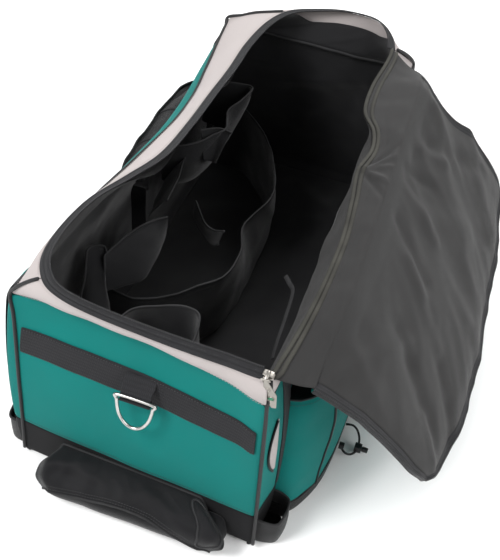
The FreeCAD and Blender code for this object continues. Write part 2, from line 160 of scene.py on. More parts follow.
def rim_sides():
    """The rim as one closed smooth loop, cut back into its four sides."""
    loop = [mm(*p) for side in RIM_ORDER for p in RIM[side][:-1]]
    steps = 8
    fine = spline(loop, closed=True, steps=steps)
    sides, start = {}, 0
    for side in RIM_ORDER:
        stop = start + (len(RIM[side]) - 1) * steps
        sides[side] = Line([fine[i % len(fine)] for i in range(start, stop + 1)])
        start = stop
    return sides


RIM_LINE = rim_sides()


# ---- soft shapes ----
def smoothstep(x, start, end):
    t = min(max((x - start) / (end - start), 0.0), 1.0)
    return t * t * (3 - 2 * t)


def arch(t, power=1.0):
    """0 at both ends, 1 in the middle."""
    return max(math.sin(math.pi * min(max(t, 0.0), 1.0)), 0.0) ** power


def near(x, middle, reach):
    """A soft bump of height 1 around middle."""
    return math.exp(-((x - middle) / reach) ** 2)


def ripple(p, scale, seed=0.0):
    """Soft noise from -1 to 1 that depends only on the place."""
    return noise.noise(p * scale + Vector((seed, seed * 1.7, -seed)))


def crumple(p, scale, seed=0.0):
    """Sharp soft-topped creases, as in cloth that has been pushed about, from -1 to 1."""
    first = noise.noise(p * scale + Vector((seed, -seed, seed * 0.6)))
    second = noise.noise(p * scale * 2.3 + Vector((-seed, seed, 4.0)))
    return 1.0 - 3.2 * math.sqrt(first * first + 0.002) - 1.2 * math.sqrt(second * second + 0.002)


def crease(p, start, end, reach, depth):
    """A soft straight fold between two (x, y) places, fading past its ends."""
    a, b, c = Vector(start), Vector(end), Vector(p)
    run = b - a
    t = min(max((c - a).dot(run) / run.length_squared, 0.0), 1.0)
    return depth * near((c - (a + run * t)).length, 0.0, reach)


def corner(name, z):
    """A corner of the outer shell at height z, below the rim."""
    side = "right" if "right" in name else "left"
    sign = 1 if side == "right" else -1
    t = min(z / SHOULDER, 1.0)
    x = sign * (BASE_HALF + (SHOULDER_HALF[side] - BASE_HALF) * t)
    if "rear" in name:
        return Vector((x, REAR_BASE - END_LEAN * t, z))
    y = -REAR_BASE + END_LEAN * t - FRONT_SKEW * x
    if side == "left":
        out = t + 0.5 * arch(t, 0.8)
        return Vector((x + NEAR_LEFT_FLARE.x * out, y + NEAR_LEFT_FLARE.y * t ** 1.6, z))
    return Vector((x, y - NEAR_RIGHT_FOOT * (1 - t), z))


def foot_length(side):
    """How long a wall is at the floor."""
    start, end = (corner(name, 0) for name in SIDES[side])
    return (end - start).length


def swell(side, t, z):
    """How far a wall stands out from the straight line between its corners."""
    h = z / SHOULDER
    if side == "front":
        flat = 3 * arch(t, 0.6) * arch(h, 0.8)
        back = -9 * arch(t, 0.7) * smoothstep(h, 0.45, 1.0)
        return (flat + back + 2.0 * near(t, 0.97, 0.03) * h) * MM
    if side == "rear":
        return (6 * arch(t, 0.6) * arch(h, 0.7) - 3 * arch(t) * smoothstep(h, 0.6, 1.0)) * MM
    if side == "right":
        return (4 * arch(t, 0.5) * arch(h, 0.7) + 9 * near(t, 0.075, 0.045) * arch(h, 0.5)) * MM
    full = 14 * arch(t, 0.3) + 9 * near(t, 0.93, 0.05) * (1 - smoothstep(t, 0.96, 1.0))
    full *= arch(min(0.1 + h, 0.5), 0.8) * (1 - smoothstep(h, 0.9, 1.0))
    dip = 0.72 * smoothstep(h, 0.55, 0.86) + 0.28 * smoothstep(h, 0.9, 1.0)
    sag = -36 * near(t, 0.36, 0.30) * arch(t, 0.3) * dip
    return (full + sag) * MM


def along(side):
    a, b = (corner(name, 0) for name in SIDES[side])
    return (b - a).normalized()


def outward(side):
    return along(side).cross(UP)


def wall(side, t, z, out=0.0):
    """A point on a wall of the shell. t runs from its left corner to its right one, seen from outside."""
    a, b = (corner(name, z) for name in SIDES[side])
    straight = a.lerp(b, t)
    soft = ripple(Vector((straight.x, straight.y, z)), 13.0, len(side))
    soft += 0.4 * ripple(straight, 34.0, len(side) + 3)
    soft += 0.35 * crumple(straight, 9.0, len(side) + 5)
    calm = arch(t, 0.5) * arch(z / SHOULDER, 0.5)
    return straight + outward(side) * (swell(side, t, z) + out + 1.6 * MM * soft * calm)


def shoulder_z(side, t):
    """Height of the seam between a wall panel and its yoke."""
    if side == "front":
        lift = 13 * arch(t, 0.75) - 6 * near(t, 0.94, 0.04) + 1.5 * math.sin(t * 15)
        return SHOULDER + lift * arch(t, 0.4) * MM
    if side == "left":
        return SHOULDER + (-4 * arch(t, 0.5) + 2.5 * math.sin(t * 21) * arch(t)) * MM
    return SHOULDER + 2 * arch(t) * MM


def shoulder(side, t, out=0.0):
    return wall(side, t, shoulder_z(side, t), out)


def rim(side, t):
    return RIM_LINE[side].at(t)


def yoke(side, t, v, out=0.0):
    """A point on a sloping yoke: v runs from the shoulder seam up to the rim."""
    a, b = shoulder(side, t), rim(side, t)
    rise = b - a
    face = RIM_LINE[side].heading(t).cross(rise).normalized()
    full = 7.0 if side in ("front", "rear") else 4.0
    puff = full * arch(v, 0.8) + 1.8 * ripple(a.lerp(b, v), 24.0, 5.0) * arch(v, 0.5)
    return a.lerp(b, v) + face * (puff * MM + out)


# ---- meshes ----
def to_object(name, bm, shade_smooth=True):
    mesh = bpy.data.meshes.new(name)
    bm.to_mesh(mesh)
    bm.free()
    if shade_smooth:
        mesh.shade_smooth()
    piece = bpy.data.objects.new(name, mesh)
    bpy.context.scene.collection.objects.link(piece)
    return piece


def applied(piece, *modifiers):
    """Adds modifiers, each a type and its settings, and makes them the piece's own mesh."""
    for kind, settings in modifiers:
        modifier = piece.modifiers.new(kind.title(), kind)
        for key, value in settings.items():
            setattr(modifier, key, value)
    evaluated = piece.evaluated_get(bpy.context.evaluated_depsgraph_get())
    mesh = bpy.data.meshes.new_from_object(evaluated)
    piece.modifiers.clear()
    piece.data = mesh
    mesh.shade_smooth()
    return piece


def sheet_grid(bm, place, size, cells):
    """Adds a sheet of cloth to bm: place(u, v) puts its points, and its map is in metres."""
    layer = bm.loops.layers.uv.verify()
    made = bmesh.ops.create_grid(bm, x_segments=cells[0], y_segments=cells[1], size=0.5)
    faces = {face for vert in made["verts"] for face in vert.link_faces}
    for face in faces:
        for loop in face.loops:
            loop[layer].uv = ((loop.vert.co.x + 0.5) * size[0], (loop.vert.co.y + 0.5) * size[1])
    for vert in made["verts"]:
        vert.co = place(vert.co.x + 0.5, vert.co.y + 0.5)
    return made["verts"]


def cloth(name, place, size, cells, thick=1.2 * MM, smooth=1, back=True):
    """A sheet with its own thickness. The given side faces along u cross v."""
    bm = bmesh.new()
    sheet_grid(bm, place, size, cells)
    piece = to_object(name, bm)
    steps = [("SOLIDIFY", {"thickness": thick, "offset": -1.0 if back else 0.0})]
    if smooth:
        steps.append(("SUBSURF", {"levels": smooth, "render_levels": smooth}))
    return applied(piece, *steps)


def stand(at, tangent, normal, half_side, half_up):
    """A matrix that puts a unit ring across a line."""
    side = tangent.cross(normal).normalized()
    top = side.cross(tangent).normalized()
    columns = (side * half_side, top * half_up, tangent)
    turned = Matrix([[c[i] for c in columns] for i in range(3)]).to_4x4()
    return Matrix.Translation(at) @ turned


def tube(bm, points, half_side, half_up=None, normal=UP, sides=8, square=1.0, closed=False, taper=None):
    """Draws a ring of any squareness along a line. normal may be one vector or one for each point."""
    half_up = half_side if half_up is None else half_up
    run_layer = bm.verts.layers.float.get("run") or bm.verts.layers.float.new("run")
    turn_layer = bm.verts.layers.float.get("turn") or bm.verts.layers.float.new("turn")
    count = len(points)
    frames, run = [], [0.0]
    for i, point in enumerate(points):
        if closed:
            tangent = (points[(i + 1) % count] - points[i - 1]).normalized()
        else:
            tangent = (points[min(i + 1, count - 1)] - points[max(i - 1, 0)]).normalized()
        up = normal[i] if isinstance(normal, list) else normal
        size = taper(i / (count - 1)) if taper else 1.0
        frames.append(stand(point, tangent, up, half_side * size, half_up * size))
        if i:
            run.append(run[-1] + (point - points[i - 1]).length)
    made = bmesh.ops.create_circle(bm, cap_ends=not closed, radius=1.0, segments=sides)
    ring = made["verts"]
    for vert in ring:
        angle = math.atan2(vert.co.y, vert.co.x)
        for axis, value in ((0, math.cos(angle)), (1, math.sin(angle))):
            vert.co[axis] = math.copysign(abs(value) ** square, value) if abs(value) > 1e-6 else 0.0
        vert[turn_layer] = angle / math.tau
    bmesh.ops.transform(bm, matrix=frames[0], verts=ring)
    edges = [e for e in {e for v in ring for e in v.link_edges} if all(v in ring for v in e.verts)]
    first_edges = list(edges)
    for i in range(1, count):
        grown = bmesh.ops.extrude_edge_only(bm, edges=edges)["geom"]
        verts = [g for g in grown if isinstance(g, bmesh.types.BMVert)]
        edges = [g for g in grown if isinstance(g, bmesh.types.BMEdge) and all(v in verts for v in g.verts)]
        bmesh.ops.transform(bm, matrix=frames[i] @ frames[i - 1].inverted(), verts=verts)
        for vert in verts:
            vert[run_layer] = run[i]
    if closed:
        bmesh.ops.bridge_loops(bm, edges=first_edges + edges)
    else:
        bmesh.ops.contextual_create(bm, geom=edges)


def tubes(name, *runs, smooth=0):
    """One piece of several tubes. Each run is a dict of tube's own arguments."""
    bm = bmesh.new()
    for run in runs:
        tube(bm, **run)
    bmesh.ops.recalc_face_normals(bm, faces=bm.faces)
    piece = to_object(name, bm)
    if smooth:
        applied(piece, ("SUBSURF", {"levels": smooth, "render_levels": smooth}))
    return piece


def pellet(bm, at, forward, normal, size):
    """A small rounded lump, such as a stitch or a zip tooth. size is length, width and height."""
    side = forward.cross(normal).normalized()
    top = side.cross(forward).normalized()
    columns = (forward * size[0] / 2, side * size[1] / 2, top * size[2] / 2)
    turned = Matrix([[c[i] for c in columns] for i in range(3)]).to_4x4()
    bmesh.ops.create_icosphere(bm, subdivisions=1, radius=1.0, matrix=Matrix.Translation(at) @ turned)


def row_of(bm, points, normals, pitch, size):
    """A row of pellets along a line, one every pitch."""
    line = Line(points)
    count = max(1, int(line.length / pitch))
    for i in range(count):
        share = (i + 0.5) / count
        normal = normals[min(int(share * len(normals)), len(normals) - 1)]
        pellet(bm, line.at(share), line.heading(share), normal, size)


# A stitch and one turn of a zip's coil, each its length, width and height
STITCH = (2.6 * MM, 0.8 * MM, 0.7 * MM)
STITCH_PITCH = 3.6 * MM
COIL_TURN = (1.5 * MM, 3.4 * MM, 2.0 * MM)
COIL_PITCH = 2.1 * MM


def row_at(v, *shares):
    """(u, v) places side by side at one height of a sheet."""
    return [(u, v) for u in shares]


def on_cloth(place, path, lift=0.6 * MM, steps=10):
    """Follows (u, v) places over a sheet, giving points just off it and its normals."""
    flat = spline([Vector((u, v, 0)) for u, v in path], steps=steps)
    points, normals = [], []
    for p in flat:
        u, v = min(max(p.x, 0.002), 0.998), min(max(p.y, 0.002), 0.998)
        here = place(u, v)
        normal = (place(u + 0.002, v) - here).cross(place(u, v + 0.002) - here).normalized()
        points.append(here + normal * lift)
        normals.append(normal)
    return points, normals


def stitched(name, *rows):
    """One piece of stitch rows, each given as the points and normals of on_cloth."""
    bm = bmesh.new()
    for points, normals in rows:
        row_of(bm, points, normals, STITCH_PITCH, STITCH)
    return to_object(name, bm)


def dress(piece, material, body="bag", replaces=()):
    """Gives a finished piece its material, slot and body, and the frame's nodes that it stands for."""
    piece.data.materials.clear()
    piece.data.materials.append(FINISHES[material])
    if replaces:
        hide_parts(*replaces)
    if body:
        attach(piece, body)
    return piece


# ---- finishes ----
class Signal:
    """A shader value that Python's own signs work on."""

    def __init__(self, finish, socket):
        self.finish, self.socket = finish, socket

    def __add__(self, other):
        return self.finish.maths("ADD", self, other)

    def __sub__(self, other):
        return self.finish.maths("SUBTRACT", self, other)

    def __mul__(self, other):
        return self.finish.maths("MULTIPLY", self, other)

    def __truediv__(self, other):
        return self.finish.maths("DIVIDE", self, other)

    def __rsub__(self, other):
        return self.finish.maths("SUBTRACT", other, self)

    __radd__ = __add__
    __rmul__ = __mul__


class Finish:
    """A material made of nodes. Constants go straight onto the shader."""

    def __init__(self, name, **constants):
        self.material = bpy.data.materials.new(name)
        self.material.use_nodes = True
        self.tree = self.material.node_tree
        self.tree.nodes.clear()
        self.shader = self.node("ShaderNodeBsdfPrincipled", sockets=constants)
        self.node("ShaderNodeOutputMaterial", sockets={"Surface": Signal(self, self.shader.outputs[0])})

    def node(self, kind, settings=None, sockets=None):
        made = self.tree.nodes.new(kind)
        for key, value in (settings or {}).items():
            if key == "stops":
                ramp = made.color_ramp.elements
                while len(ramp) < len(value):
                    ramp.new(0.5)
                for element, (position, colour) in zip(ramp, value):
                    element.position, element.color = position, colour
            else:
                setattr(made, key, value)
        for key, value in (sockets or {}).items():
            target = made.inputs[key]
            if isinstance(value, Signal):
                self.tree.links.new(value.socket, target)
            else:
                target.default_value = value
        return made

    def maths(self, operation, *values):
        made = self.node("ShaderNodeMath", {"operation": operation}, dict(enumerate(values)))
        return Signal(self, made.outputs[0])

    def place(self, kind="Object", scale=(1, 1, 1), turn=0.0):
        source = self.node("ShaderNodeTexCoord")
        moved = self.node("ShaderNodeMapping", None, {
            "Vector": Signal(self, source.outputs[kind]), "Scale": scale, "Rotation": (0, 0, turn)})
        return Signal(self, moved.outputs[0])

    def noise(self, where, scale, detail=3.0, roughness=0.55):
        made = self.node("ShaderNodeTexNoise", None, {
            "Vector": where, "Scale": scale, "Detail": detail, "Roughness": roughness})
        return Signal(self, made.outputs["Fac"])

    def attribute(self, name):
        made = self.node("ShaderNodeAttribute", {"attribute_name": name})
        return Signal(self, made.outputs["Fac"])

    def split(self, vector):
        made = self.node("ShaderNodeSeparateXYZ", None, {0: vector})
        return [Signal(self, made.outputs[i]) for i in range(2)]

    def blend(self, factor, first, second):
        made = self.node("ShaderNodeMix", {"data_type": "RGBA"}, {0: factor, 6: first, 7: second})
        return Signal(self, made.outputs[2])

    def bump(self, height, distance, strength=1.0):
        made = self.node("ShaderNodeBump", None, {
            "Height": height, "Distance": distance, "Strength": strength})
        return Signal(self, made.outputs[0])

    def wear(self, **links):
        for name, value in links.items():
            self.tree.links.new(value.socket, self.shader.inputs[name.replace("_", " ")])
        return self.material


def tint(colour, share):
    return tuple(min(1.0, c * share) for c in colour[:3]) + (1.0,)


def woven(name, colour, thread, rough=0.75, sheen=0.15, contrast=0.25, lumps=0.5):
    """Plain weave on the sheet's own map, with cloudy shade and fine slubs."""
    finish = Finish(name, **{"Sheen Weight": sheen, "Sheen Roughness": 0.4, "Specular IOR Level": 0.15})
    x, y = finish.split(finish.place("UV", (1 / thread, 1 / thread, 1)))
    over = finish.maths("MODULO", finish.maths("FLOOR", x) + finish.maths("FLOOR", y) + 4096, 2)
    warp = finish.maths("SINE", finish.maths("FRACT", x) * math.pi)
    weft = finish.maths("SINE", finish.maths("FRACT", y) * math.pi)
    threads = warp * over + weft * (1 - over)
    cloud = finish.noise(finish.place(), 14.0)
    slub = finish.noise(finish.place("UV", (120, 900, 1)), 1.0, 2.0)
    shade = cloud * 0.9 + slub * 0.35 + threads * 0.3 - 0.3
    colour_link = finish.blend(shade, tint(colour, 1 - contrast), tint(colour, 1 + contrast))
    return finish.wear(Base_Color=colour_link, Roughness=rough + (cloud - 0.5) * 0.2,
                       Normal=finish.bump(threads * 0.5 + slub * 0.6 + cloud * lumps, 0.35 * MM, 0.8))


def ribbed(name, colour, rib, rough=0.6):
    """Webbing or tape with ribs across its length."""
    finish = Finish(name, **{"Sheen Weight": 0.04, "Specular IOR Level": 0.18})
    x, y = finish.split(finish.place("UV", (1 / rib, 1 / rib, 1)))
    step = finish.maths("FLOOR", y * 0.5)
    ribs = finish.maths("SINE", finish.maths("FRACT", x + step * 0.5) * math.pi)
    rows = finish.maths("SINE", finish.maths("FRACT", y * 0.5) * math.pi)
    weave = ribs * 0.7 + rows * 0.4
    cloud = finish.noise(finish.place(), 30.0)
    colour_link = finish.blend(weave * 0.6 + cloud * 0.5 - 0.1, tint(colour, 0.5), tint(colour, 3.4))
    return finish.wear(Base_Color=colour_link, Roughness=rough + cloud * 0.1,
                       Normal=finish.bump(weave + cloud * 0.4, 0.5 * MM, 0.9))


def corded(name, colour, pitch, rough=0.6):
    """Thread or cord whose strands wind round it, read from a tube's own run and turn."""
    finish = Finish(name, **{"Sheen Weight": 0.05, "Specular IOR Level": 0.4})
    turn = finish.attribute("run") / pitch + finish.attribute("turn") * 2
    strand = finish.maths("SINE", finish.maths("FRACT", turn) * math.pi)
    cloud = finish.noise(finish.place(), 60.0)
    colour_link = finish.blend(strand * 0.7 + cloud * 0.3, tint(colour, 0.6), tint(colour, 1.5))
    return finish.wear(Base_Color=colour_link, Roughness=rough + cloud * 0.1,
                       Normal=finish.bump(strand, 0.3 * MM, 0.8))


def moulded(name, colour, rough=0.45):
    """Plastic or enamel with a fine grain."""
    finish = Finish(name, **{"Specular IOR Level": 0.5})
    grain = finish.noise(finish.place(), 900.0, 2.0)
    cloud = finish.noise(finish.place(), 40.0)
    return finish.wear(Base_Color=finish.blend(cloud, tint(colour, 0.8), tint(colour, 1.3)),
                       Roughness=rough + (cloud - 0.5) * 0.2, Normal=finish.bump(grain, 0.05 * MM, 0.6))


def plated(name, colour, rough=0.2):
    """Nickel plate with rubbed patches and fine scratches."""
    finish = Finish(name, Metallic=1.0)
    rubbed = finish.noise(finish.place(), 90.0, 4.0)
    scratch = finish.noise(finish.place("Object", (1, 8, 1), 0.5), 300.0, 2.0)
    return finish.wear(Base_Color=finish.blend(rubbed, tint(colour, 0.75), tint(colour, 1.1)),
                       Roughness=rough + rubbed * 0.12 + scratch * 0.08,
                       Normal=finish.bump(scratch, 0.03 * MM, 0.5))


FINISHES = {}


def make_finishes(look):
    FINISHES.update({
        "teal": woven("teal_polyester", look.teal, 0.75 * MM, 0.8, 0.05, 0.12, 0.8),
        "grey": woven("grey_polyester", look.yoke, 0.75 * MM, 0.8, 0.1, 0.07, 0.8),
        "black": woven("black_nylon", look.black, 0.9 * MM, 0.5, 0.12, 0.35, 1.2),
        "base": woven("base_nylon", look.black, 1.1 * MM, 0.75, 0.04, 0.3, 0.6),
        "lining": woven("lining_nylon", look.lining, 0.6 * MM, 0.42, 0.22, 0.3, 1.5),
        "lid_lining": woven("lid_lining_cloth", look.lid_lining, 0.7 * MM, 0.62, 0.1, 0.2, 0.8),
        "binding": ribbed("binding_tape", (0.02, 0.02, 0.021), 0.8 * MM, 0.65),
        "seam": ribbed("seam_tape", (0.036, 0.035, 0.030), 0.9 * MM, 0.7),
        "webbing": ribbed("black_webbing", look.black, 2.2 * MM),
        "zip_tape": ribbed("zip_tape_cloth", (0.011, 0.011, 0.012), 0.7 * MM),
        "teeth": moulded("zip_coil", (0.022, 0.022, 0.024), 0.35),
        "piping": corded("corded_piping", look.black, 2.5 * MM),
        "thread": corded("black_thread", (0.05, 0.05, 0.052), 0.8 * MM),
        "cord": corded("braided_cord", look.black, 1.6 * MM),
        "plastic": moulded("moulded_plastic", look.black),
        "ring": plated("nickel_wire", (0.56, 0.55, 0.53), 0.2),
        "zip_metal": plated("plated_zinc", (0.36, 0.34, 0.31), 0.3),
        "enamel": moulded("green_enamel", (0.02, 0.16, 0.08), 0.3),
    })


# ---- what a user would change ----
def colour_property(name, description, default):
    return bpy.props.FloatVectorProperty(name=name, description=description, subtype="COLOR", size=3,
                                         min=0.0, max=1.0, default=default)


def length_property(name, description, default):
    return bpy.props.FloatProperty(name=name, description=description, subtype="DISTANCE", unit="LENGTH",
                                   default=default)


class BagLook(bpy.types.PropertyGroup):
    """Colours and small sizes of the bag's cloth and trimmings."""
    teal: colour_property("Teal", "Colour of the wall panels and the lid", (0.0, 0.155, 0.14))
    yoke: colour_property("Yoke", "Colour of the sloping yokes", (0.44, 0.40, 0.392))
    black: colour_property("Black", "Colour of the base, pouches and webbing", (0.006, 0.006, 0.007))
    lining: colour_property("Lining", "Colour of the inside", (0.011, 0.011, 0.012))
    lid_lining: colour_property("Lid lining", "Colour of the lid's inner face", (0.024, 0.0235, 0.0235))
    piping: length_property("Piping", "Radius of the corded seams", 2.3 * MM)
    tape: length_property("Zip tape", "Width of the tape round the mouth", 13 * MM)
    webbing: length_property("Webbing", "Thickness of the bands", 1.9 * MM)


class StageLook(bpy.types.PropertyGroup):
    """Where the camera stands, how it is turned, and its lens."""
    eye: bpy.props.FloatVectorProperty(name="Eye", description="Where the camera stands", subtype="XYZ",
                                       unit="LENGTH", size=3, default=(0.2926, -0.9654, 1.1182))
    turn: bpy.props.FloatProperty(name="Turn", description="Camera's turn to the left", subtype="ANGLE",
                                  unit="ROTATION", default=math.radians(15.513))
    dip: bpy.props.FloatProperty(name="Dip", description="Camera's angle below level", subtype="ANGLE",
                                 unit="ROTATION", default=math.radians(46.344))
    roll: bpy.props.FloatProperty(name="Roll", description="Camera's roll", subtype="ANGLE",
                                  unit="ROTATION", default=math.radians(5.560))
    lens: bpy.props.FloatProperty(name="Lens", description="Focal length on a 36 mm sensor", unit="CAMERA",
                                  default=72.0)


class Sewing:
    """What every operator of the panel shares."""
    bl_options = {"REGISTER"}

    @property
    def look(self):
        return bpy.context.scene.bag_look


# Each lamp's name, place, size in metres and power in watts
LAMPS = (("key", (-1.3, -1.5, 2.3), 1.1, 84),
         ("fill", (1.9, -0.6, 1.6), 1.4, 34),
         ("back", (0.2, 1.9, 1.9), 1.2, 46))
LAMPS_AIM = Vector((0, 0, 0.15))


class BAG_OT_stage(Sewing, bpy.types.Operator):
    """Lay the floor, hang the lights and set the camera"""
    bl_idname = "bag.stage"
    bl_label = "Stage"

    def execute(self, context):
        self.floor()
        self.camera(context.scene.bag_stage)
        self.lights(context.scene)
        return {"FINISHED"}

    def floor(self):
        bm = bmesh.new()
        bmesh.ops.create_grid(bm, x_segments=2, y_segments=2, size=6.0)
        bmesh.ops.translate(bm, vec=(0, 0, -0.6 * MM), verts=bm.verts)
        floor = to_object("floor", bm, False)
        finish = Finish("pale_floor", **{"Base Color": (0.93, 0.93, 0.93, 1.0), "Roughness": 0.9})
        floor.data.materials.append(finish.material)

    def camera(self, stage):
        data = bpy.data.cameras.new("camera")
        data.sensor_fit, data.sensor_width, data.lens = "HORIZONTAL", 36.0, stage.lens
        data.clip_end = 30.0
        camera = bpy.data.objects.new("camera", data)
        bpy.context.scene.collection.objects.link(camera)
        camera.matrix_world = (Matrix.Translation(stage.eye) @ Matrix.Rotation(stage.turn, 4, "Z")
                               @ Matrix.Rotation(math.pi / 2 - stage.dip, 4, "X")
                               @ Matrix.Rotation(stage.roll, 4, "Z"))
        bpy.context.scene.camera = camera

    def lights(self, scene):
        world = bpy.data.worlds.new("pale_room")
        world.use_nodes = True
        world.node_tree.nodes["Background"].inputs["Color"].default_value = (1, 1, 1, 1)
        world.node_tree.nodes["Background"].inputs["Strength"].default_value = 0.5
        scene.world = world
        scene.view_settings.view_transform = "Standard"
        scene.view_settings.look = "None"
        for name, at, size, power in LAMPS:
            data = bpy.data.lights.new(name, "AREA")
            data.size, data.energy = size, power
            light = bpy.data.objects.new(name, data)
            scene.collection.objects.link(light)
            aim = LAMPS_AIM - Vector(at)
            light.matrix_world = Matrix.Translation(at) @ aim.to_track_quat("-Z", "Y").to_matrix().to_4x4()


# ---- shell ----
BAND_BEND = 9 * MM


class BAG_OT_base(Sewing, bpy.types.Operator):
    """Make the floor skin and the black base bands"""
    bl_idname = "bag.base"
    bl_label = "Base"

    def execute(self, context):
        def floor(u, v):
            a, b = wall("front", u, 0.0), wall("rear", 1 - u, 0.0)
            inner = a.lerp(b, 0.015 + 0.97 * v)
            return Vector((inner.x * 0.97, inner.y, 0.2 * MM + 0.5 * MM * arch(u) * arch(v)))
        skin = cloth("floor_skin_cloth", floor, (0.31, 0.69), (24, 48), 1.6 * MM, smooth=0)
        lowest = min(v.co.z for v in skin.data.vertices)
        skin.data.transform(Matrix.Translation((0, 0, -lowest)))
        dress(skin, "base", replaces=("floor_skin", "base_board"))
        for side in SIDES:
            def band(u, v, side=side):
                bend = BAND_BEND * math.pi / 2
                run = v * (BAND_TOP - BAND_BEND + bend)
                if run < bend:
                    angle = run / BAND_BEND
                    drop = BAND_BEND * (1 - math.sin(angle))
                    return wall(side, u, 0.4 * MM + BAND_BEND * (1 - math.cos(angle)), 0.6 * MM - drop)
                return wall(side, u, min(BAND_BEND + run - bend, BAND_TOP), 0.6 * MM)
            length = foot_length(side)
            cells = (int(length / 0.010), 14)
            piece = cloth("base_band_cloth_" + side, band, (length, BAND_TOP), cells, 1.6 * MM)
            dress(piece, "base", replaces=("base_band_" + side,))
        return {"FINISHED"}


class BAG_OT_panels(Sewing, bpy.types.Operator):
    """Make the teal wall panels and the grey yokes above them"""
    bl_idname = "bag.panels"
    bl_label = "Wall panels and yokes"

    def execute(self, context):
        grey_rows, teal_rows = [], []
        for side in SIDES:
            def panel(u, v, side=side):
                bottom = BAND_TOP - 2 * MM
                return wall(side, u, bottom + (shoulder_z(side, u) - bottom) * v)

            def cap(u, v, side=side):
                return yoke(side, u, v)
            length = foot_length(side)
            cells = (int(length / 0.009), 22)
            piece = cloth("wall_panel_" + side, panel, (length, SHOULDER - BAND_TOP), cells)
            dress(piece, "teal", replaces=("panel_" + side, "stiffener_" + side))
            piece = cloth("yoke_cloth_" + side, cap, (length, 45 * MM), (cells[0], 10))
            dress(piece, "grey", replaces=("yoke_" + side,))
            grey_rows += [on_cloth(cap, row_at(v, 0.01, 0.25, 0.5, 0.75, 0.99)) for v in (0.06, 0.9)]
            teal_rows.append(on_cloth(panel, row_at(0.03, 0.01, 0.5, 0.99), steps=40))
        dress(stitched("yoke_stitching", *grey_rows), "grey")
        dress(stitched("band_stitching", *teal_rows), "thread")
        return {"FINISHED"}


class BAG_OT_piping(Sewing, bpy.types.Operator):
    """Run corded piping up the corners and along the side shoulders"""
    bl_idname = "bag.piping"
    bl_label = "Piping"

    def execute(self, context):
        radius = self.look.piping
        runs = []
        for side in SIDES:
            points = []
            for step in range(41):
                z = 9 * MM + (SHOULDER - 9 * MM) * step / 40
                here = wall(side, 0.052 * arch(z / SHOULDER, 0.7) if side == "front" else 0.0, z)
                away = (outward(side) + outward(WALL_BEFORE[side])).normalized()
                points.append(here + away * radius * 0.7)
            top = [yoke(side, 0.004, v, radius * 0.5) for v in (0.25, 0.5, 0.75, 0.92)]
            line = Line(spline(points[::4] + top, steps=6)).spaced(5 * MM)
            runs.append(dict(points=line, half_side=radius, normal=outward(side)))
        for side in ("left", "right"):
            line = [shoulder(side, i / 150, radius * 0.6) for i in range(151)]
            runs.append(dict(points=line, half_side=radius * 0.9))
        piece = tubes("corded_seams", *runs)
        dress(piece, "piping", replaces=("corner_piping",))
        return {"FINISHED"}


# ---- mouth ----
def rim_frame(side, t):
    """A place on the rim, with the ways inward and up off its tape."""
    here, ahead = rim(side, t), RIM_LINE[side].heading(t)
    inward = UP.cross(ahead).normalized()
    slope = (here - shoulder(side, t)).normalized()
    lie = (inward * 0.8 + slope * 0.6).normalized()
    return here, lie, ahead.cross(lie).normalized()


def zipped_rim():
    """Places along the mouth's three zipped sides, from its rear right corner to its front right one."""
    return [(side, i / count) for side, count in (("rear", 60), ("left", 110), ("front", 60))
            for i in range(count)] + [("front", 0.985)]


class BAG_OT_mouth_zip(Sewing, bpy.types.Operator):
    """Sew the zip tape and its coil round the mouth"""
    bl_idname = "bag.mouth_zip"
    bl_label = "Mouth zip"

    def execute(self, context):
        stations = zipped_rim()
        wide = self.look.tape

        def tape(u, v):
            side, t = stations[min(int(u * (len(stations) - 1) + 0.5), len(stations) - 1)]
            here, lie, up = rim_frame(side, t)
            ridge = 1.3 * near(v, 0.24, 0.11) + 1.0 * near(v, 0.52, 0.07) - 0.5 * near(v, 0.38, 0.05)
            return here + lie * ((v - 0.2) * wide) + up * ((ridge + 0.6) * MM)
        piece = cloth("mouth_tape", tape, (1.25, wide), (len(stations) - 1, 22), 1.0 * MM, smooth=0)
        dress(piece, "zip_tape", replaces=("zip_tape",))
        edge, ups = [], []
        for side, t in stations:
            here, lie, up = rim_frame(side, t)
            edge.append(here + lie * (0.8 * wide) + up * 0.9 * MM)
            ups.append(up)
        bm = bmesh.new()
        row_of(bm, edge, ups, COIL_PITCH, COIL_TURN)
        dress(to_object("mouth_coil", bm), "teeth")
        inner = on_cloth(tape, [(i / 12, 0.64) for i in range(13)], 0.2 * MM, 16)
        outer = on_cloth(tape, [(i / 12, 0.06) for i in range(13)], 0.2 * MM, 16)
        dress(stitched("mouth_stitching", inner, outer), "thread")
        return {"FINISHED"}


# ---- lining ----
LINING_GAP = 8.0 * MM


def lining_drop(side, t):
    """How far the lining's top edge has slipped below the rim."""
    if side == "rear":
        return (4 + 15 * smoothstep(t, 0.12, 0.3) * (1 - smoothstep(t, 0.8, 0.95))) * MM
    if side == "left":
        return (3 + 20 * near(t, 0.60, 0.07) + 15 * near(t, 0.27, 0.05)) * MM
    return 2.5 * MM


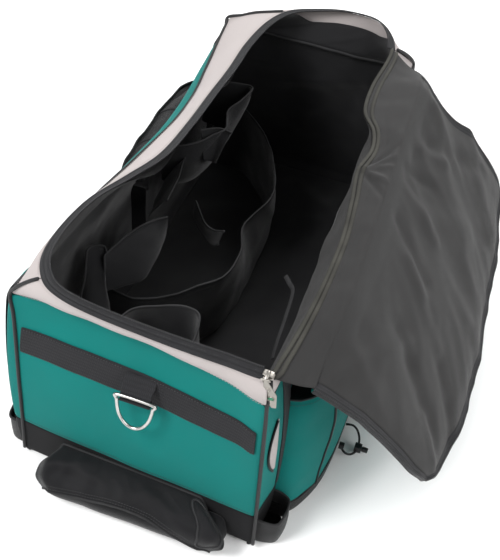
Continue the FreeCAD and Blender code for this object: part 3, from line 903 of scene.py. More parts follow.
def lining(side, t, v):
    """A point on the inner lining: v 0 at the floor, 1 at the rim."""
    turn = smoothstep(v, 0.0, 0.045)
    height = SHOULDER - LINING_GAP
    wrinkle = ripple(wall(side, t, 0.1) + Vector((0, 0, v * 0.3)), 19.0, 9.0)
    wrinkle += 0.5 * ripple(wall(side, t, 0.1) + Vector((0, 0, v * 0.3)), 45.0, 2.0)
    inward = -outward(side)
    if v < 0.8:
        z = LINING_GAP + height * v / 0.8 - 2 * MM * (v < 0.01)
        point = wall(side, t, z, -LINING_GAP)
        fold = 3.0 * arch(v / 0.8, 0.6) * arch(t, 0.4) * (wrinkle + 0.5) + 9 * (1 - turn)
    else:
        k = (v - 0.8) / 0.2
        top = rim(side, t) + UP * -lining_drop(side, t)
        bottom = wall(side, t, SHOULDER, -LINING_GAP)
        point = bottom.lerp(top, k) + inward * 3.4 * MM * (0.6 + 0.4 * k)
        fold = 1.5 * (wrinkle + 0.4) * (1 - k) + 1.4 * near(v, 0.81, 0.008)
    if side == "rear":
        fold += 2.4 * near(v, 0.8, 0.012) + crease((t, v), (0.2, 0.66), (0.75, 0.5), 0.03, 3.2)
        fold += (crease((t, v), (0.7, 0.98), (0.5, 0.86), 0.02, 2.0)
                 + crease((t, v), (0.35, 0.96), (0.5, 0.84), 0.02, 2.0))
    if side == "right":
        fold += (6 * near(t, 0.66, 0.07) * near(v, 0.86, 0.1)
                 + crease((t, v), (0.1, 0.9), (0.5, 0.8), 0.03, 3))
    ends = arch(t, 0.35)
    fold += 2.6 * (crumple(point, 11.0, 3.0) + 0.4) * arch(v, 0.3)
    return point + inward * fold * ends * MM


class BAG_OT_lining(Sewing, bpy.types.Operator):
    """Line the inside"""
    bl_idname = "bag.lining"
    bl_label = "Lining"

    def execute(self, context):
        for side in SIDES:
            def place(u, v, side=side):
                t = 0.012 + 0.976 * (1 - u)
                return lining(side, t, v)
            length = foot_length(side)
            cells = (int(length / 0.010), 44)
            piece = cloth("lining_cloth_" + side, place, (length, 0.34), cells, 0.8 * MM)
            dress(piece, "lining", replaces=("lining_" + side,))

        def floor(u, v):
            a = wall("front", 0.03 + 0.94 * u, 0.01, -9 * MM)
            b = wall("rear", 0.97 - 0.94 * u, 0.01, -9 * MM)
            p = a.lerp(b, v)
            soft = 1.3 * (ripple(p, 16.0, 4.0) + 0.6 * ripple(p, 40.0, 6.0) + 0.8)
            soft += (crease((u, v), (0.5, 0.93), (0.95, 0.83), 0.025, 5)
                     + crease((u, v), (0.6, 0.8), (1.0, 0.88), 0.02, 3))
            soft += 2.4 * (crumple(p, 10.0, 6.0) + 0.5)
            return Vector((p.x, p.y, 8.6 * MM + soft * arch(u, 0.4) * arch(v, 0.3) * MM))
        piece = cloth("lining_cloth_floor", floor, (0.30, 0.67), (30, 66), 0.8 * MM)
        dress(piece, "lining", replaces=("lining_floor",))

        def facing(u, v):
            t = 0.02 + 0.96 * (1 - u)
            off = 1.4 * MM + 0.6 * MM * near(v, 0, 0.1)
            return lining("right", t, 0.84 + 0.16 * v) - outward("right") * off
        piece = cloth("lining_facing_right", facing, (0.66, 0.055), (90, 12), 0.8 * MM)
        dress(piece, "lid_lining")
        top_seam = [lining("rear", 0.03 + 0.94 * i / 40, 0.805) - outward("rear") * 1.2 * MM
                    for i in range(41)]
        seams = tubes("lining_seams", dict(points=top_seam, half_side=1.2 * MM, half_up=2.4 * MM))
        dress(seams, "binding")
        return {"FINISHED"}


# ---- lid ----
HINGE = Vector(JOINTS["lid_hinge"]["pos_m"])
FOLD = Vector(JOINTS["lid_fold"]["pos_m"])
HINGE_RUN = -Vector(JOINTS["lid_hinge"]["axis"]).normalized()
HINGE_OUT = HINGE_RUN.cross(UP)
STRIP = (FOLD - HINGE).length
LID_DIP = math.radians(46)
LID_SLOPE = Vector((math.cos(LID_DIP), -math.sin(LID_DIP)))
LID_LAND = 118 * MM          # past this far from the seam the lid lies on its flat slope
FOLD_BEND = 24 * MM
LID_HALF_THICK = 3.2 * MM
LID_CURL = 18.0                # millimetres the free edge hangs below the flat slope

# The lid's edges, in millimetres along the hinge and out from its seam
LID_NEAR = [(3, 45), (6, 110), (12, 165), (18, 220), (33, 256)]
LID_OUTER = [(33, 256), (56, 275), (90, 289), (152, 304), (246, 313), (340, 314), (427, 311), (520, 304),
             (578, 295), (602, 284)]
LID_FAR = [(600, 45), (582, 72), (576, 98), (583, 132), (600, 172), (613, 215), (616, 245), (611, 270),
           (602, 284)]


def flat_line(points):
    return Line(spline([mm(s, q) for s, q in points]))


LID_EDGES = {"near": flat_line(LID_NEAR), "outer": flat_line(LID_OUTER), "far": flat_line(LID_FAR)}

# Soft folds pressed into the lid: start, end (both along and out, in mm), reach and depth in mm
LID_FOLDS = [((30, 60), (150, 150), 13, 4.2), ((150, 130), (75, 250), 15, -5.0),
             ((220, 165), (120, 285), 13, -4.6), ((250, 110), (190, 205), 12, 4.6),
             ((330, 100), (420, 215), 20, 3.8), ((470, 95), (560, 210), 15, -4.0),
             ((90, 215), (50, 262), 10, 4.0), ((350, 70), (330, 150), 12, 4.4),
             ((540, 80), (500, 150), 14, 4.0), ((380, 60), (410, 120), 10, -3.6),
             ((290, 70), (250, 150), 12, -3.6), ((440, 70), (470, 130), 10, 3.0),
             ((300, 200), (270, 300), 16, 3.0), ((430, 230), (480, 300), 16, -2.6)]


def lid_profile(q, folded):
    """Distance out from the hinge and height above it, q out from the seam along the cloth."""
    fold = Vector(((FOLD - HINGE).dot(HINGE_OUT), (FOLD - HINGE).z))
    sharp = fold * (q / STRIP) if q < STRIP else fold + LID_SLOPE * (q - STRIP)
    if abs(q - STRIP) < FOLD_BEND:
        t = (q - STRIP + FOLD_BEND) / (2 * FOLD_BEND)
        start, end = fold * (1 - FOLD_BEND / STRIP), fold + LID_SLOPE * FOLD_BEND
        sharp = start * (1 - t) ** 2 + fold * (2 * t * (1 - t)) + end * t ** 2
        sharp += Vector((0.35, 0.94)) * 5 * MM * (t * (1 - t)) * 4
    if q > LID_LAND:
        return sharp
    straight = (fold + LID_SLOPE * (LID_LAND - STRIP)) * (q / LID_LAND)
    return straight.lerp(sharp, folded)


def lid_surface(s, q, lift=0.0):
    """A point on the lid's middle, or lifted off it, at rest."""
    folded = smoothstep(s, 5 * MM, 130 * MM) * (1 - smoothstep(s, 540 * MM, 632 * MM))
    here = lid_profile(q, folded)
    way = (lid_profile(q + MM, folded) - here).normalized()
    normal = HINGE_OUT * -way.y + UP * way.x
    return HINGE + HINGE_RUN * s + HINGE_OUT * here.x + UP * here.y + normal * lift


def lid_at(u, v):
    """Place on the lid in its own (along, out): u along the hinge, v from the fold to the free edge."""
    near_edge, far_edge = LID_EDGES["near"].at(v), LID_EDGES["far"].at(v)
    hinge = mm(*LID_NEAR[0]).lerp(mm(*LID_FAR[0]), u)
    outer = LID_EDGES["outer"].at(u)
    chord = mm(*LID_OUTER[0]).lerp(mm(*LID_OUTER[-1]), u)
    return hinge.lerp(outer, v) + near_edge.lerp(far_edge, u) - hinge.lerp(chord, v)


def lid_wave(p):
    """Height of the lid's own folds at (along, out)."""
    wave = sum(crease((p.x, p.y), Vector(a) * MM, Vector(b) * MM, reach * MM, depth)
               for a, b, reach, depth in LID_FOLDS)
    slant = Vector((p.x * 0.75 + p.y * 0.66, (p.y * 0.75 - p.x * 0.66) * 0.45, 0))
    wave += (3.4 * crumple(slant, 9.0, 2.0) + 2.2 * ripple(p, 9.0, 3.0)
             + 0.8 * ripple(p, 24.0, 8.0) + 0.3 * ripple(p, 60.0, 1.0))
    inner = smoothstep(p.y, 45 * MM, 75 * MM)
    return wave * inner * MM


def lid_droop(u, v):
    """The lid's free edges hang a little below its flat."""
    edge = max(smoothstep(v, 0.8, 1.0), 0.7 * smoothstep(abs(u - 0.5), 0.42, 0.5) * smoothstep(v, 0.1, 0.4))
    curl = max(v - 0.2, 0.0) / 0.8
    return -(5 * edge * edge + LID_CURL * curl * curl) * MM


def lid_place(u, v, lift=0.0):
    p = lid_at(u, v)
    return lid_surface(p.x, p.y, lift + lid_wave(p) + lid_droop(u, v))


def follow_fold(piece):
    """Bakes the piece's placement into its mesh; the two points it works out on the lid past the fold are
    not used.
    """
    lid_surface(0.32, STRIP + 2 * MM)
    lid_surface(0.32, STRIP + 50 * MM)
    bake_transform(piece)


def follow_hinge(piece):
    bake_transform(piece)


TAPE_INSET = (0.021, 0.050)   # share of the lid's length and width that its zip tape takes


def lid_inset(u, v, share):
    inner = (TAPE_INSET[0] + (1 - 2 * TAPE_INSET[0]) * u, v * (1 - TAPE_INSET[1]))
    return u + (inner[0] - u) * share, v + (inner[1] - v) * share


def lid_border():
    """Places round the lid's three free edges, from the hinge's near end to its far one."""
    path = [(0.0, i / 30) for i in range(30)]
    path += [(i / 70, 1.0) for i in range(70)]
    return path + [(1.0, 1 - i / 30) for i in range(31)]


class BAG_OT_hinge_strip(Sewing, bpy.types.Operator):
    """Make the strip of lining cloth that the lid hangs on, with its taped seam"""
    bl_idname = "bag.hinge_strip"
    bl_label = "Hinge strip"

    def execute(self, context):
        line = RIM_LINE["right"]
        star = 352 * MM

        def strip(u, v, lift=0.0):
            seam = line.at(u)
            s0 = (seam - HINGE).dot(HINGE_RUN)
            s = s0 + (4 * MM + 596 * MM * u - s0) * v
            base = lid_surface(s, (STRIP + 3 * MM) * v)
            start = lid_surface(s0, 0.0)
            place = base + (seam - start - HINGE_RUN * (seam - start).dot(HINGE_RUN)) * (1 - v) ** 1.4
            q = STRIP * v
            fold = sum(crease((s, q), (star, 2 * MM), (star + end * MM, 46 * MM), 3.5 * MM, depth)
                       for end, depth in ((34, 4.6), (8, 3.6), (-26, 4.6), (60, -3.4), (-58, -3.0)))
            fold += 2.0 * ripple(Vector((s, q, 0)), 22.0, 2.0) + 1.0 * ripple(Vector((s, q, 0)), 50.0, 7.0)
            rise = (LID_HALF_THICK + 0.3 * MM) * smoothstep(v, 0.6, 0.98)
            return place + UP * (fold * arch(v * 0.94 + 0.03, 0.6) * MM + rise + lift)
        piece = cloth("hinge_strip_cloth", strip, (0.64, STRIP), (120, 14), 1.0 * MM)
        dress(piece, "lid_lining", None, ("hinge_strip",))
        follow_hinge(piece)

        def taped(offset):
            aside = HINGE_OUT * min(offset, 0.0) * STRIP
            points = [strip(i / 120, max(offset, 0.0)) + aside + UP * 1.4 * MM for i in range(121)]
            return dict(points=points, half_side=2.6 * MM, half_up=1.3 * MM, square=0.8)
        tape = tubes("hinge_seam_tape", taped(-0.05), taped(0.11))
        dress(tape, "seam")
        rows = [on_cloth(strip, row_at(0.19, 0.01, 0.25, 0.5, 0.75, 0.99), steps=30),
                on_cloth(strip, row_at(0.95, 0.02, 0.25, 0.5, 0.75, 0.98), steps=30)]
        stitches = stitched("hinge_stitching", *rows)
        dress(stitches, "lid_lining", None)
        follow_hinge(stitches)
        return {"FINISHED"}


class BAG_OT_lid(Sewing, bpy.types.Operator):
    """Make the lid: padded lining face, teal outer face, and its half of the zip"""
    bl_idname = "bag.lid"
    bl_label = "Lid"

    def execute(self, context):
        def inner(u, v):
            a, b = lid_inset(u, v, 0.94)
            rim_dip = -1.6 * MM * (1 - smoothstep(min(u, 1 - u) * 14, 0, 1) * smoothstep((1 - v) * 9, 0, 1))
            return lid_place(a, b, LID_HALF_THICK + rim_dip)

        def outer(u, v):
            return lid_place(1 - u, v, -LID_HALF_THICK)

        def side(u, v):
            path = lid_border()
            a, b = path[round((1 - u) * (len(path) - 1))]
            return lid_place(a, b, (2 * v - 1) * LID_HALF_THICK)

        def tape(u, v):
            path = lid_border()
            a, b = lid_inset(*path[round((1 - u) * (len(path) - 1))], 1 - v)
            ridge = 1.2 * near(v, 0.72, 0.1) - 1.2 * near(v, 0.12, 0.12)
            return lid_place(a, b, LID_HALF_THICK + (ridge - 0.2) * MM)
        stations = len(lid_border()) - 1
        lining_face = cloth("lid_inner_face", inner, (0.60, 0.27), (110, 56), 1.2 * MM)
        dress(lining_face, "lid_lining", None, ("lid_lining", "lid_foam"))
        outer_face = cloth("lid_outer_face", outer, (0.62, 0.28), (84, 42), 1.2 * MM)
        dress(outer_face, "teal", None, ("lid_outer",))
        edge = cloth("lid_edge_band", side, (1.15, 2 * LID_HALF_THICK), (stations, 3), 0.8 * MM)
        dress(edge, "black", None)
        band = cloth("lid_tape", tape, (1.15, 13 * MM), (stations, 10), 0.9 * MM, smooth=0)
        dress(band, "zip_tape", None, ("lid_zip_tape",))
        coil = bmesh.new()
        points = [lid_place(*spot, LID_HALF_THICK + 0.4 * MM) for spot in lid_border()]
        normals = [(lid_place(*spot, 8 * MM) - lid_place(*spot, 4 * MM)).normalized()
                   for spot in lid_border()]
        row_of(coil, points, normals, COIL_PITCH, COIL_TURN)
        coil = dress(to_object("lid_coil", coil), "teeth", None)
        rows = [on_cloth(tape, [(i / 12, k) for i in range(13)], 0.3 * MM, 12) for k in (0.3, 0.45)]
        stitches = dress(stitched("lid_stitching", *rows), "thread", None)
        for piece in (lining_face, outer_face, edge, band, coil, stitches):
            follow_fold(piece)
        return {"FINISHED"}


# ---- webbing, rings and straps ----
# The stitched cross that holds the ring's tab on the band, as (u, v) places
TAB_CROSS = ([(0.44, 0.05), (0.56, 0.6)], [(0.44, 0.6), (0.56, 0.05)], [(0.44, 0.05), (0.56, 0.05)])
STRAP_AWAY = {"right": (-296, 306), "left": (-306, 306)}    # millimetres from a side's middle
GRIP_AWAY = 75 * MM                                         # and a handle's two ends
RING_TILT = math.radians(12)


class BAG_OT_end_webbing(Sewing, bpy.types.Operator):
    """Sew the webbing band across each end, with its ring and tab"""
    bl_idname = "bag.end_webbing"
    bl_label = "End webbing and rings"

    def execute(self, context):
        for side in ("front", "rear"):
            bottom, top = low("webbing_" + side).z, high("webbing_" + side).z

            def band(u, v, side=side, bottom=bottom, top=top):
                t = 0.055 + 0.923 * u
                lift = (5 * arch(t, 0.8) - 4 * near(t, 0.97, 0.04) + 0.8 * math.sin(t * 13)) * MM
                edge = 1.0 - 0.5 * near(v, 0, 0.06) - 0.5 * near(v, 1, 0.06)
                return wall(side, t, bottom + lift + (top - bottom) * v, 0.5 * MM + self.look.webbing * edge)
            strap = cloth("end_webbing_" + side, band, (0.31, top - bottom), (60, 12), 1.5 * MM)
            dress(strap, "webbing", replaces=("webbing_" + side,))
            rows = [on_cloth(band, row_at(v, *shares), steps=24)
                    for shares in ((0.01, 0.35, 0.44), (0.56, 0.75, 0.99)) for v in (0.07, 0.93)]
            rows += [on_cloth(band, path) for path in TAB_CROSS]
            dress(stitched("webbing_stitching_" + side, *rows), "thread")
            self.ring(side)
            self.tab(side)
        return {"FINISHED"}

    def ring(self, side):
        """A wire D hanging from its straight bar."""
        pivot = Vector(JOINTS[side + "_ring_swing"]["pos_m"])
        half, drop = 21.5 * MM, high("d_ring_" + side).z - low("d_ring_" + side).z - 5 * MM
        bow = [Vector((-half, 0, 0)), Vector((-half - 0.6 * MM, 0, -7 * MM))]
        bow += [Vector((-half * math.cos(a), 0, -8 * MM - (drop - 8 * MM) * math.sin(a)))
                for a in (math.pi * i / 12 for i in range(1, 12))]
        bow += [Vector((half + 0.6 * MM, 0, -7 * MM)), Vector((half, 0, 0))]
        tilt = Matrix.Rotation(-RING_TILT if side == "front" else RING_TILT, 3, "X")
        points = spline([pivot + tilt @ p for p in bow], closed=True, steps=6)
        ring = tubes("d_ring_wire_" + side, dict(points=points, half_side=2.1 * MM, normal=Vector((0, 1, 0)),
                                                 sides=14, closed=True))
        dress(ring, "ring", side + "_ring", ("d_ring_" + side,))

    def tab(self, side):
        """Webbing folded over the ring's bar and sewn down above it."""
        pivot = Vector(JOINTS[side + "_ring_swing"]["pos_m"])
        sign = -1 if side == "front" else 1
        top = high("ring_tab_" + side).z

        def fold(u, v):
            x = pivot.x - sign * (u - 0.5) * 38 * MM * (1 + 0.04 * math.cos(math.tau * v))
            angle = math.radians(-150 + 250 * smoothstep(v, 0.0, 0.62))
            radius = 4.3 * MM
            curl = Vector((x, pivot.y - sign * radius * math.cos(angle), pivot.z + radius * math.sin(angle)))
            if v < 0.62:
                return curl
            k = (v - 0.62) / 0.38
            back = wall(side, 0.5, top, 0)
            end = Vector((x, back.y + sign * 3.2 * MM, top + 3 * MM))
            return curl.lerp(end, k)
        piece = cloth("ring_tab_webbing_" + side, fold, (38 * MM, 50 * MM), (14, 30), 1.5 * MM)
        dress(piece, "webbing", replaces=("ring_tab_" + side,))


def strap(name, points, normal, half=12.5 * MM, thick=0.9 * MM):
    """A flat band of webbing along a line; the pattern's map follows its run."""
    line = Line(points)
    normals = normal if isinstance(normal, list) else None

    def place(u, v):
        here, ahead = line.at(u), line.heading(u)
        up = normals[round(u * (len(normals) - 1))] if normals else normal
        side = up.cross(ahead).normalized()
        return here + side * ((v - 0.5) * 2 * half) + up * (0.4 * thick * (1 - (2 * v - 1) ** 6))
    cells = (max(8, int(line.length / (8 * MM))), 6)
    return cloth(name, place, (line.length, 2 * half), cells, 2 * thick)


class BAG_OT_side_straps(Sewing, bpy.types.Operator):
    """Sew the side straps and hang the grab handles"""
    bl_idname = "bag.side_straps"
    bl_label = "Straps and handles"

    def execute(self, context):
        stands = []
        for side in ("right", "left"):
            length = foot_length(side)
            for away in STRAP_AWAY[side]:
                t = 0.5 + away * MM / length
                tall = SHOULDER - BAND_TOP - 8 * MM
                points = [wall(side, t, BAND_TOP + 4 * MM + tall * i / 14, 1.6 * MM) for i in range(15)]
                stands.append(strap("strap", points, outward(side)))
            sign = 1 if side == "right" else -1
            pivot = Vector(JOINTS[side + "_handle_swing"]["pos_m"])
            for end in (-1, 1):
                y = pivot.y + end * GRIP_AWAY
                points = [Vector((pivot.x - sign * (3.0 - 0.5 * arch(i / 10)) * MM, y,
                                  5 * MM + (pivot.z - 3 * MM) * i / 10)) for i in range(11)]
                stands.append(strap("strap", points, Vector((sign, 0, 0))))
            self.handle(side, sign, pivot)
        joined = stands[0]
        with bpy.context.temp_override(active_object=joined, selected_editable_objects=stands):
            bpy.ops.object.join()
        joined.name = "side_strap_webbing"
        dress(joined, "webbing", replaces=("side_straps",))
        return {"FINISHED"}

    def handle(self, side, sign, pivot):
        bottom = low("handle_" + side).z + 12.5 * MM
        top = high("handle_" + side).z
        half, turn = GRIP_AWAY, 26 * MM
        outline = [(-half, top)] + [(-half, top - (top - bottom - turn) * k) for k in (0.5, 1.0)]
        outline += [(-half + turn * (1 - math.cos(a)), bottom + turn * (1 - math.sin(a)))
                    for a in (math.radians(30), math.radians(60))]
        outline += [(-half + turn, bottom), (0, bottom - 3 * MM)]
        outline += [(-y, z) for y, z in reversed(outline[:-1])]
        points = spline([Vector((pivot.x, pivot.y + y, z)) for y, z in outline], steps=6)
        body = side + "_handle"
        loop = strap("handle_webbing_" + side, points, Vector((sign, 0, 0)), thick=1.1 * MM)
        dress(loop, "webbing", body, ("handle_" + side,))
        grip_low, grip_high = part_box("handle_grip_" + side)
        middle = (grip_low + grip_high) / 2
        run = [Vector((middle.x, middle.y + (i / 24 - 0.5) * 94 * MM, middle.z - 1 * MM)) for i in range(25)]

        def fullness(share):
            return 0.78 + 0.22 * arch(share, 0.35) + 0.015 * math.sin(share * 60)
        grip = tubes("handle_grip_pad_" + side, dict(points=run, half_side=16.5 * MM, half_up=4.4 * MM,
                                                     normal=Vector((sign, 0, 0)), sides=20, square=0.7,
                                                     taper=fullness), smooth=1)
        dress(grip, "piping", body, ("handle_grip_" + side,))
        seams = [dict(points=[p + Vector((sign * 4.2 * MM, 0, dz)) for p in run[1:-1]], half_side=0.8 * MM)
                 for dz in (-9 * MM, 9 * MM)]
        dress(tubes("handle_grip_seams_" + side, *seams), "thread", body)


# ---- pockets and pouches ----
def between(bottom, top, bulge=0.0, seed=0.0, soft=1.4):
    """A soft wall from one line up to another, bulging to the side that u cross v faces. Points in mm."""
    low_line, high_line = Line(spline([mm(*p) for p in bottom])), Line(spline([mm(*p) for p in top]))

    def place(u, v):
        a, b = low_line.at(u), high_line.at(u)
        out = low_line.heading(u).cross(b - a).normalized()
        wave = soft * (ripple(a.lerp(b, v), 20.0, seed) + 0.8 * crumple(a.lerp(b, v), 14.0, seed + 2))
        return a.lerp(b, v) + out * (bulge * arch(v, 0.8) + wave) * arch(0.04 + 0.92 * u, 0.4) * MM
    return place


def level(plan, z):
    return [(x, y, z) for x, y in plan]


def span(place):
    """Rough width and height of a sheet."""
    across = sum((place((i + 1) / 12, 0.5) - place(i / 12, 0.5)).length for i in range(12))
    return across, (place(0.5, 1) - place(0.5, 0)).length


def sewn(name, place, material, body="bag", replaces=(), step=7 * MM, thick=1.2 * MM):
    """A cloth piece with cells of about one size."""
    size = span(place)
    cells = (max(6, min(150, round(size[0] / step))), max(4, min(60, round(size[1] / step))))
    return dress(cloth(name, place, size, cells, thick), material, body, replaces)


def edging(name, runs, material, body="bag", radius=1.7 * MM):
    """Bound edges: each run is a sheet's place function and a path of (u, v) on it."""
    tubes_run = []
    for place, path in runs:
        points, normals = on_cloth(place, path, 0.2 * MM, 12)
        tubes_run.append(dict(points=points, half_side=radius, half_up=radius * 0.8, normal=normals,
                              square=0.8))
    return dress(tubes(name, *tubes_run), material, body)


TOP_EDGE = row_at(1.0, 0.0, 0.25, 0.5, 0.75, 1.0)

# Each inner pocket's walls: foot line, top line, bulge and ripple seed, in millimetres
INNER_WALLS = {
    "inner_pocket_long": [
        ([(-146, -156, 11), (-100, -160, 11), (-52, -130, 11), (-4, -66, 11), (6, -4, 11), (8, 90, 11),
          (-2, 170, 11), (-36, 236, 11), (-90, 286, 11), (-144, 288, 11)],
         [(-142, -148, 138), (-112, -155, 140), (-80, -157, 140), (-42, -130, 139), (6, -66, 136),
          (10, -8, 132), (-4, 44, 130), (12, 100, 134), (8, 150, 136), (-24, 216, 140), (-90, 286, 141),
          (-144, 290, 142)], 5, 1.0)],
    "inner_pocket_small": [
        ([(-120, -176, 156), (-98, -156, 157), (-77, -130, 159), (-82, -64, 168)],
         [(-128, -156, 201), (-116, -114, 205), (-100, -82, 206), (-82, -58, 203)], 4, 2.0),
        ([(-142, -206, 150), (-116, -222, 148), (-98, -204, 150), (-114, -178, 154)],
         [(-150, -160, 204), (-146, -150, 206), (-134, -145, 206), (-126, -152, 203)], -3, 4.0)],
    "inner_pocket_upper": [
        ([(-142, 62, 150), (-112, 66, 150), (-94, 92, 150), (-88, 150, 150), (-92, 205, 150),
          (-140, 220, 150)],
         [(-138, 56, 222), (-104, 60, 231), (-74, 88, 234), (-60, 112, 235), (-80, 160, 226),
          (-60, 217, 235), (-88, 225, 232), (-134, 224, 228)], 5, 3.0),
        ([(-80, 70, 204), (-68, 78, 198), (-62, 66, 206)],
         [(-95, 93, 236), (-72, 108, 236), (-52, 106, 235)], 2, 7.0),
        ([(-126, -20, 152), (-128, 10, 150), (-130, 60, 150), (-128, 104, 152)],
         [(-96, -24, 198), (-97, 8, 204), (-105, 60, 207), (-99, 106, 206)], -3, 9.0)],
    "inner_pocket_front": [
        ([(48, -318, 150), (40, -262, 150), (-4, -250, 150), (-48, -262, 150), (-62, -318, 150)],
         [(44, -318, 230), (38, -262, 235), (24, -228, 237), (-40, -250, 236), (-60, -318, 229)], 4, 5.0)],
    "inner_loop": [
        ([(-20, -18, 140), (-34, -7, 124), (-54, 8, 122), (-76, 22, 140)],
         [(-16, -12, 161), (-33, 0, 146), (-53, 14, 144), (-75, 30, 162)], 1, 6.0)],
}


# A loose end of binding that stands on the right of the floor, in millimetres
LOOSE_BINDING = [(100, -106, 210), (108, -114, 208), (116, -124, 204), (120, -164, 200), (122, -200, 196),
                 (124, -224, 190)]


class BAG_OT_inner_pockets(Sewing, bpy.types.Operator):
    """Sew the open pockets and the loop inside, each with its bound edge"""
    bl_idname = "bag.inner_pockets"
    bl_label = "Inner pockets"

    def execute(self, context):
        for node, walls in INNER_WALLS.items():
            runs, rows = [], []
            for i, (bottom, top, bulge, seed) in enumerate(walls):
                place = between(bottom, top, bulge, seed, 3.0)
                replaced = (node,) if i == 0 else ()
                sewn(f"{node}_cloth_{i}", place, "lining", replaces=replaced)
                runs.append((place, TOP_EDGE))
                if node == "inner_pocket_small":
                    runs.append((place, [(0.0, 1.0), (0.0, 0.5), (0.0, 0.0)]))
                if node == "inner_loop":
                    runs.append((place, [(0.0, 0.0), (0.5, 0.0), (1.0, 0.0)]))
                rows.append(on_cloth(place, row_at(0.94, 0.0, 0.25, 0.5, 0.75, 1.0), steps=16))
            edging(node + "_edge", runs, "binding")
            dress(stitched(node + "_stitching", *rows), "binding")
        loose = dict(points=spline([mm(*p) for p in LOOSE_BINDING]), half_side=3.2 * MM, half_up=1.0 * MM,
                     normal=Vector((-0.7, 0, 0.7)), square=0.7)
        dress(tubes("lining_binding", loose), "binding")
        return {"FINISHED"}


# Plans of the pouches, in millimetres: front, foot and the line against the wall
RIGHT_POUCH = [(148, -284), (174, -282), (196, -260), (215, -215), (219, -100), (219, 40), (218, 180),
               (206, 235), (184, 260), (148, 263)]
RIGHT_FOOT = [(146, -306), (178, -309), (199, -286), (216, -226), (219, -100), (219, 40), (218, 180),
              (206, 235), (184, 260), (148, 263)]
RIGHT_POUCH_BACK = [(148, -280), (152, -262), (154, -230), (155, -190), (155, -100), (155, 40), (155, 160),
                    (154, 215), (152, 244), (148, 252)]
POUCH_TRIM = 26               # height of the black foot, in millimetres
LENS = dict(right=0.050, width=0.028, bottom=118 * MM, top=208 * MM)


class BAG_OT_right_pouch(Sewing, bpy.types.Operator):
    """Sew the long pouch on the right, with its black foot, and the small patch beside it"""
    bl_idname = "bag.right_pouch"
    bl_label = "Right pouch"

    def execute(self, context):
        base, top = low("right_pouch").z / MM, high("right_pouch").z / MM
        front = between(level(RIGHT_FOOT, POUCH_TRIM - 3), level(RIGHT_POUCH, top), 5, 2.0, 2.4)
        foot = between(level(RIGHT_FOOT, base), level(RIGHT_FOOT, POUCH_TRIM), 1.2, 2.0, 0.2)
        lid = between(level(RIGHT_POUCH, top - 4), level(RIGHT_POUCH_BACK, top - 14), -3, 4.0)
        under = between(level(RIGHT_POUCH_BACK, base + 1), level(RIGHT_FOOT, base + 1), 0, 4.0, 0)
        sewn("right_pouch_front", front, "teal", replaces=("right_pouch",), thick=1.4 * MM)
        sewn("right_pouch_foot", foot, "black", thick=2.0 * MM)
        sewn("right_pouch_throat", lid, "black")
        sewn("right_pouch_under", under, "base")
        seams = [(front, TOP_EDGE), (foot, TOP_EDGE), (front, [(0.135, 0.0), (0.14, 0.5), (0.135, 1.0)])]
        edging("right_pouch_edge", seams, "black", radius=2.0 * MM)
        rows = [on_cloth(front, row_at(v, 0.01, 0.3, 0.6, 0.99), steps=30) for v in (0.035, 0.955)]
        dress(stitched("right_pouch_stitching", *rows), "thread")

        def lens(u, v):
            t = LENS["right"] - LENS["width"] * arch(0.06 + 0.9 * v, 0.8) * (1 - u)
            return wall("right", t, LENS["bottom"] + (LENS["top"] - LENS["bottom"]) * v, 1.6 * MM)
        sewn("side_patch", lens, "grey")
        edging("side_patch_edge", [(lens, [(0.0, 0.0), (0.0, 0.5), (0.0, 1.0)])], "black")
        return {"FINISHED"}


LEFT_POUCH = [(-146, 290), (-178, 286), (-191, 262), (-198, 215), (-199, 150), (-198, 90), (-193, 46),
              (-180, 22), (-146, 18)]
LEFT_POUCH_BACK = [(-146, 282), (-152, 270), (-156, 240), (-158, 205), (-158, 150), (-158, 90), (-156, 56),
                   (-150, 34), (-146, 28)]
LEFT_FLAP_HINGE = [(-150, 17, 181), (-153, 90, 185), (-154, 200, 186), (-150, 290, 183)]
LEFT_FLAP_HEM = [(-184, 18, 160), (-198, 60, 158), (-203, 100, 158), (-204, 160, 158), (-201, 206, 158),
                 (-190, 252, 158), (-172, 293, 160)]


class BAG_OT_left_pouch(Sewing, bpy.types.Operator):
    """Sew the pouch on the left with its flap"""
    bl_idname = "bag.left_pouch"
    bl_label = "Left pouch"

    def execute(self, context):
        base, top = low("left_pouch").z / MM, high("left_pouch").z / MM
        front = between(level(LEFT_POUCH, base), level(LEFT_POUCH, top - 2), 4, 6.0, 3.0)
        throat = between(level(LEFT_POUCH, top - 5), level(LEFT_POUCH_BACK, top - 12), -4, 2.0)
        under = between(level(LEFT_POUCH_BACK, base + 1), level(LEFT_POUCH, base + 1), 0, 4.0, 0)
        flap = between(LEFT_FLAP_HINGE, LEFT_FLAP_HEM, 9, 8.0, 3.0)
        sewn("left_pouch_cloth", front, "black", replaces=("left_pouch",))
        sewn("left_pouch_throat", throat, "black")
        sewn("left_pouch_under", under, "base")
        sewn("left_pouch_flap_cloth", flap, "black", "left_flap", ("left_pouch_flap",),
             6 * MM)
        edging("left_pouch_edge", [(front, TOP_EDGE)], "binding")
        seams = [(flap, row_at(1.0, 0.0, 0.3, 0.7, 1.0))]
        seams += [(flap, [(u, 0.02), (u + 0.01, 0.5), (u, 0.98)]) for u in (0.02, 0.34, 0.62, 0.98)]
        edging("left_flap_edge", seams, "binding", "left_flap", 1.5 * MM)
        rows = [on_cloth(flap, row_at(v, 0.02, 0.3, 0.7, 0.98), steps=24) for v in (0.86, 0.93)]
        dress(stitched("left_flap_stitching", *rows), "binding", "left_flap")
        return {"FINISHED"}


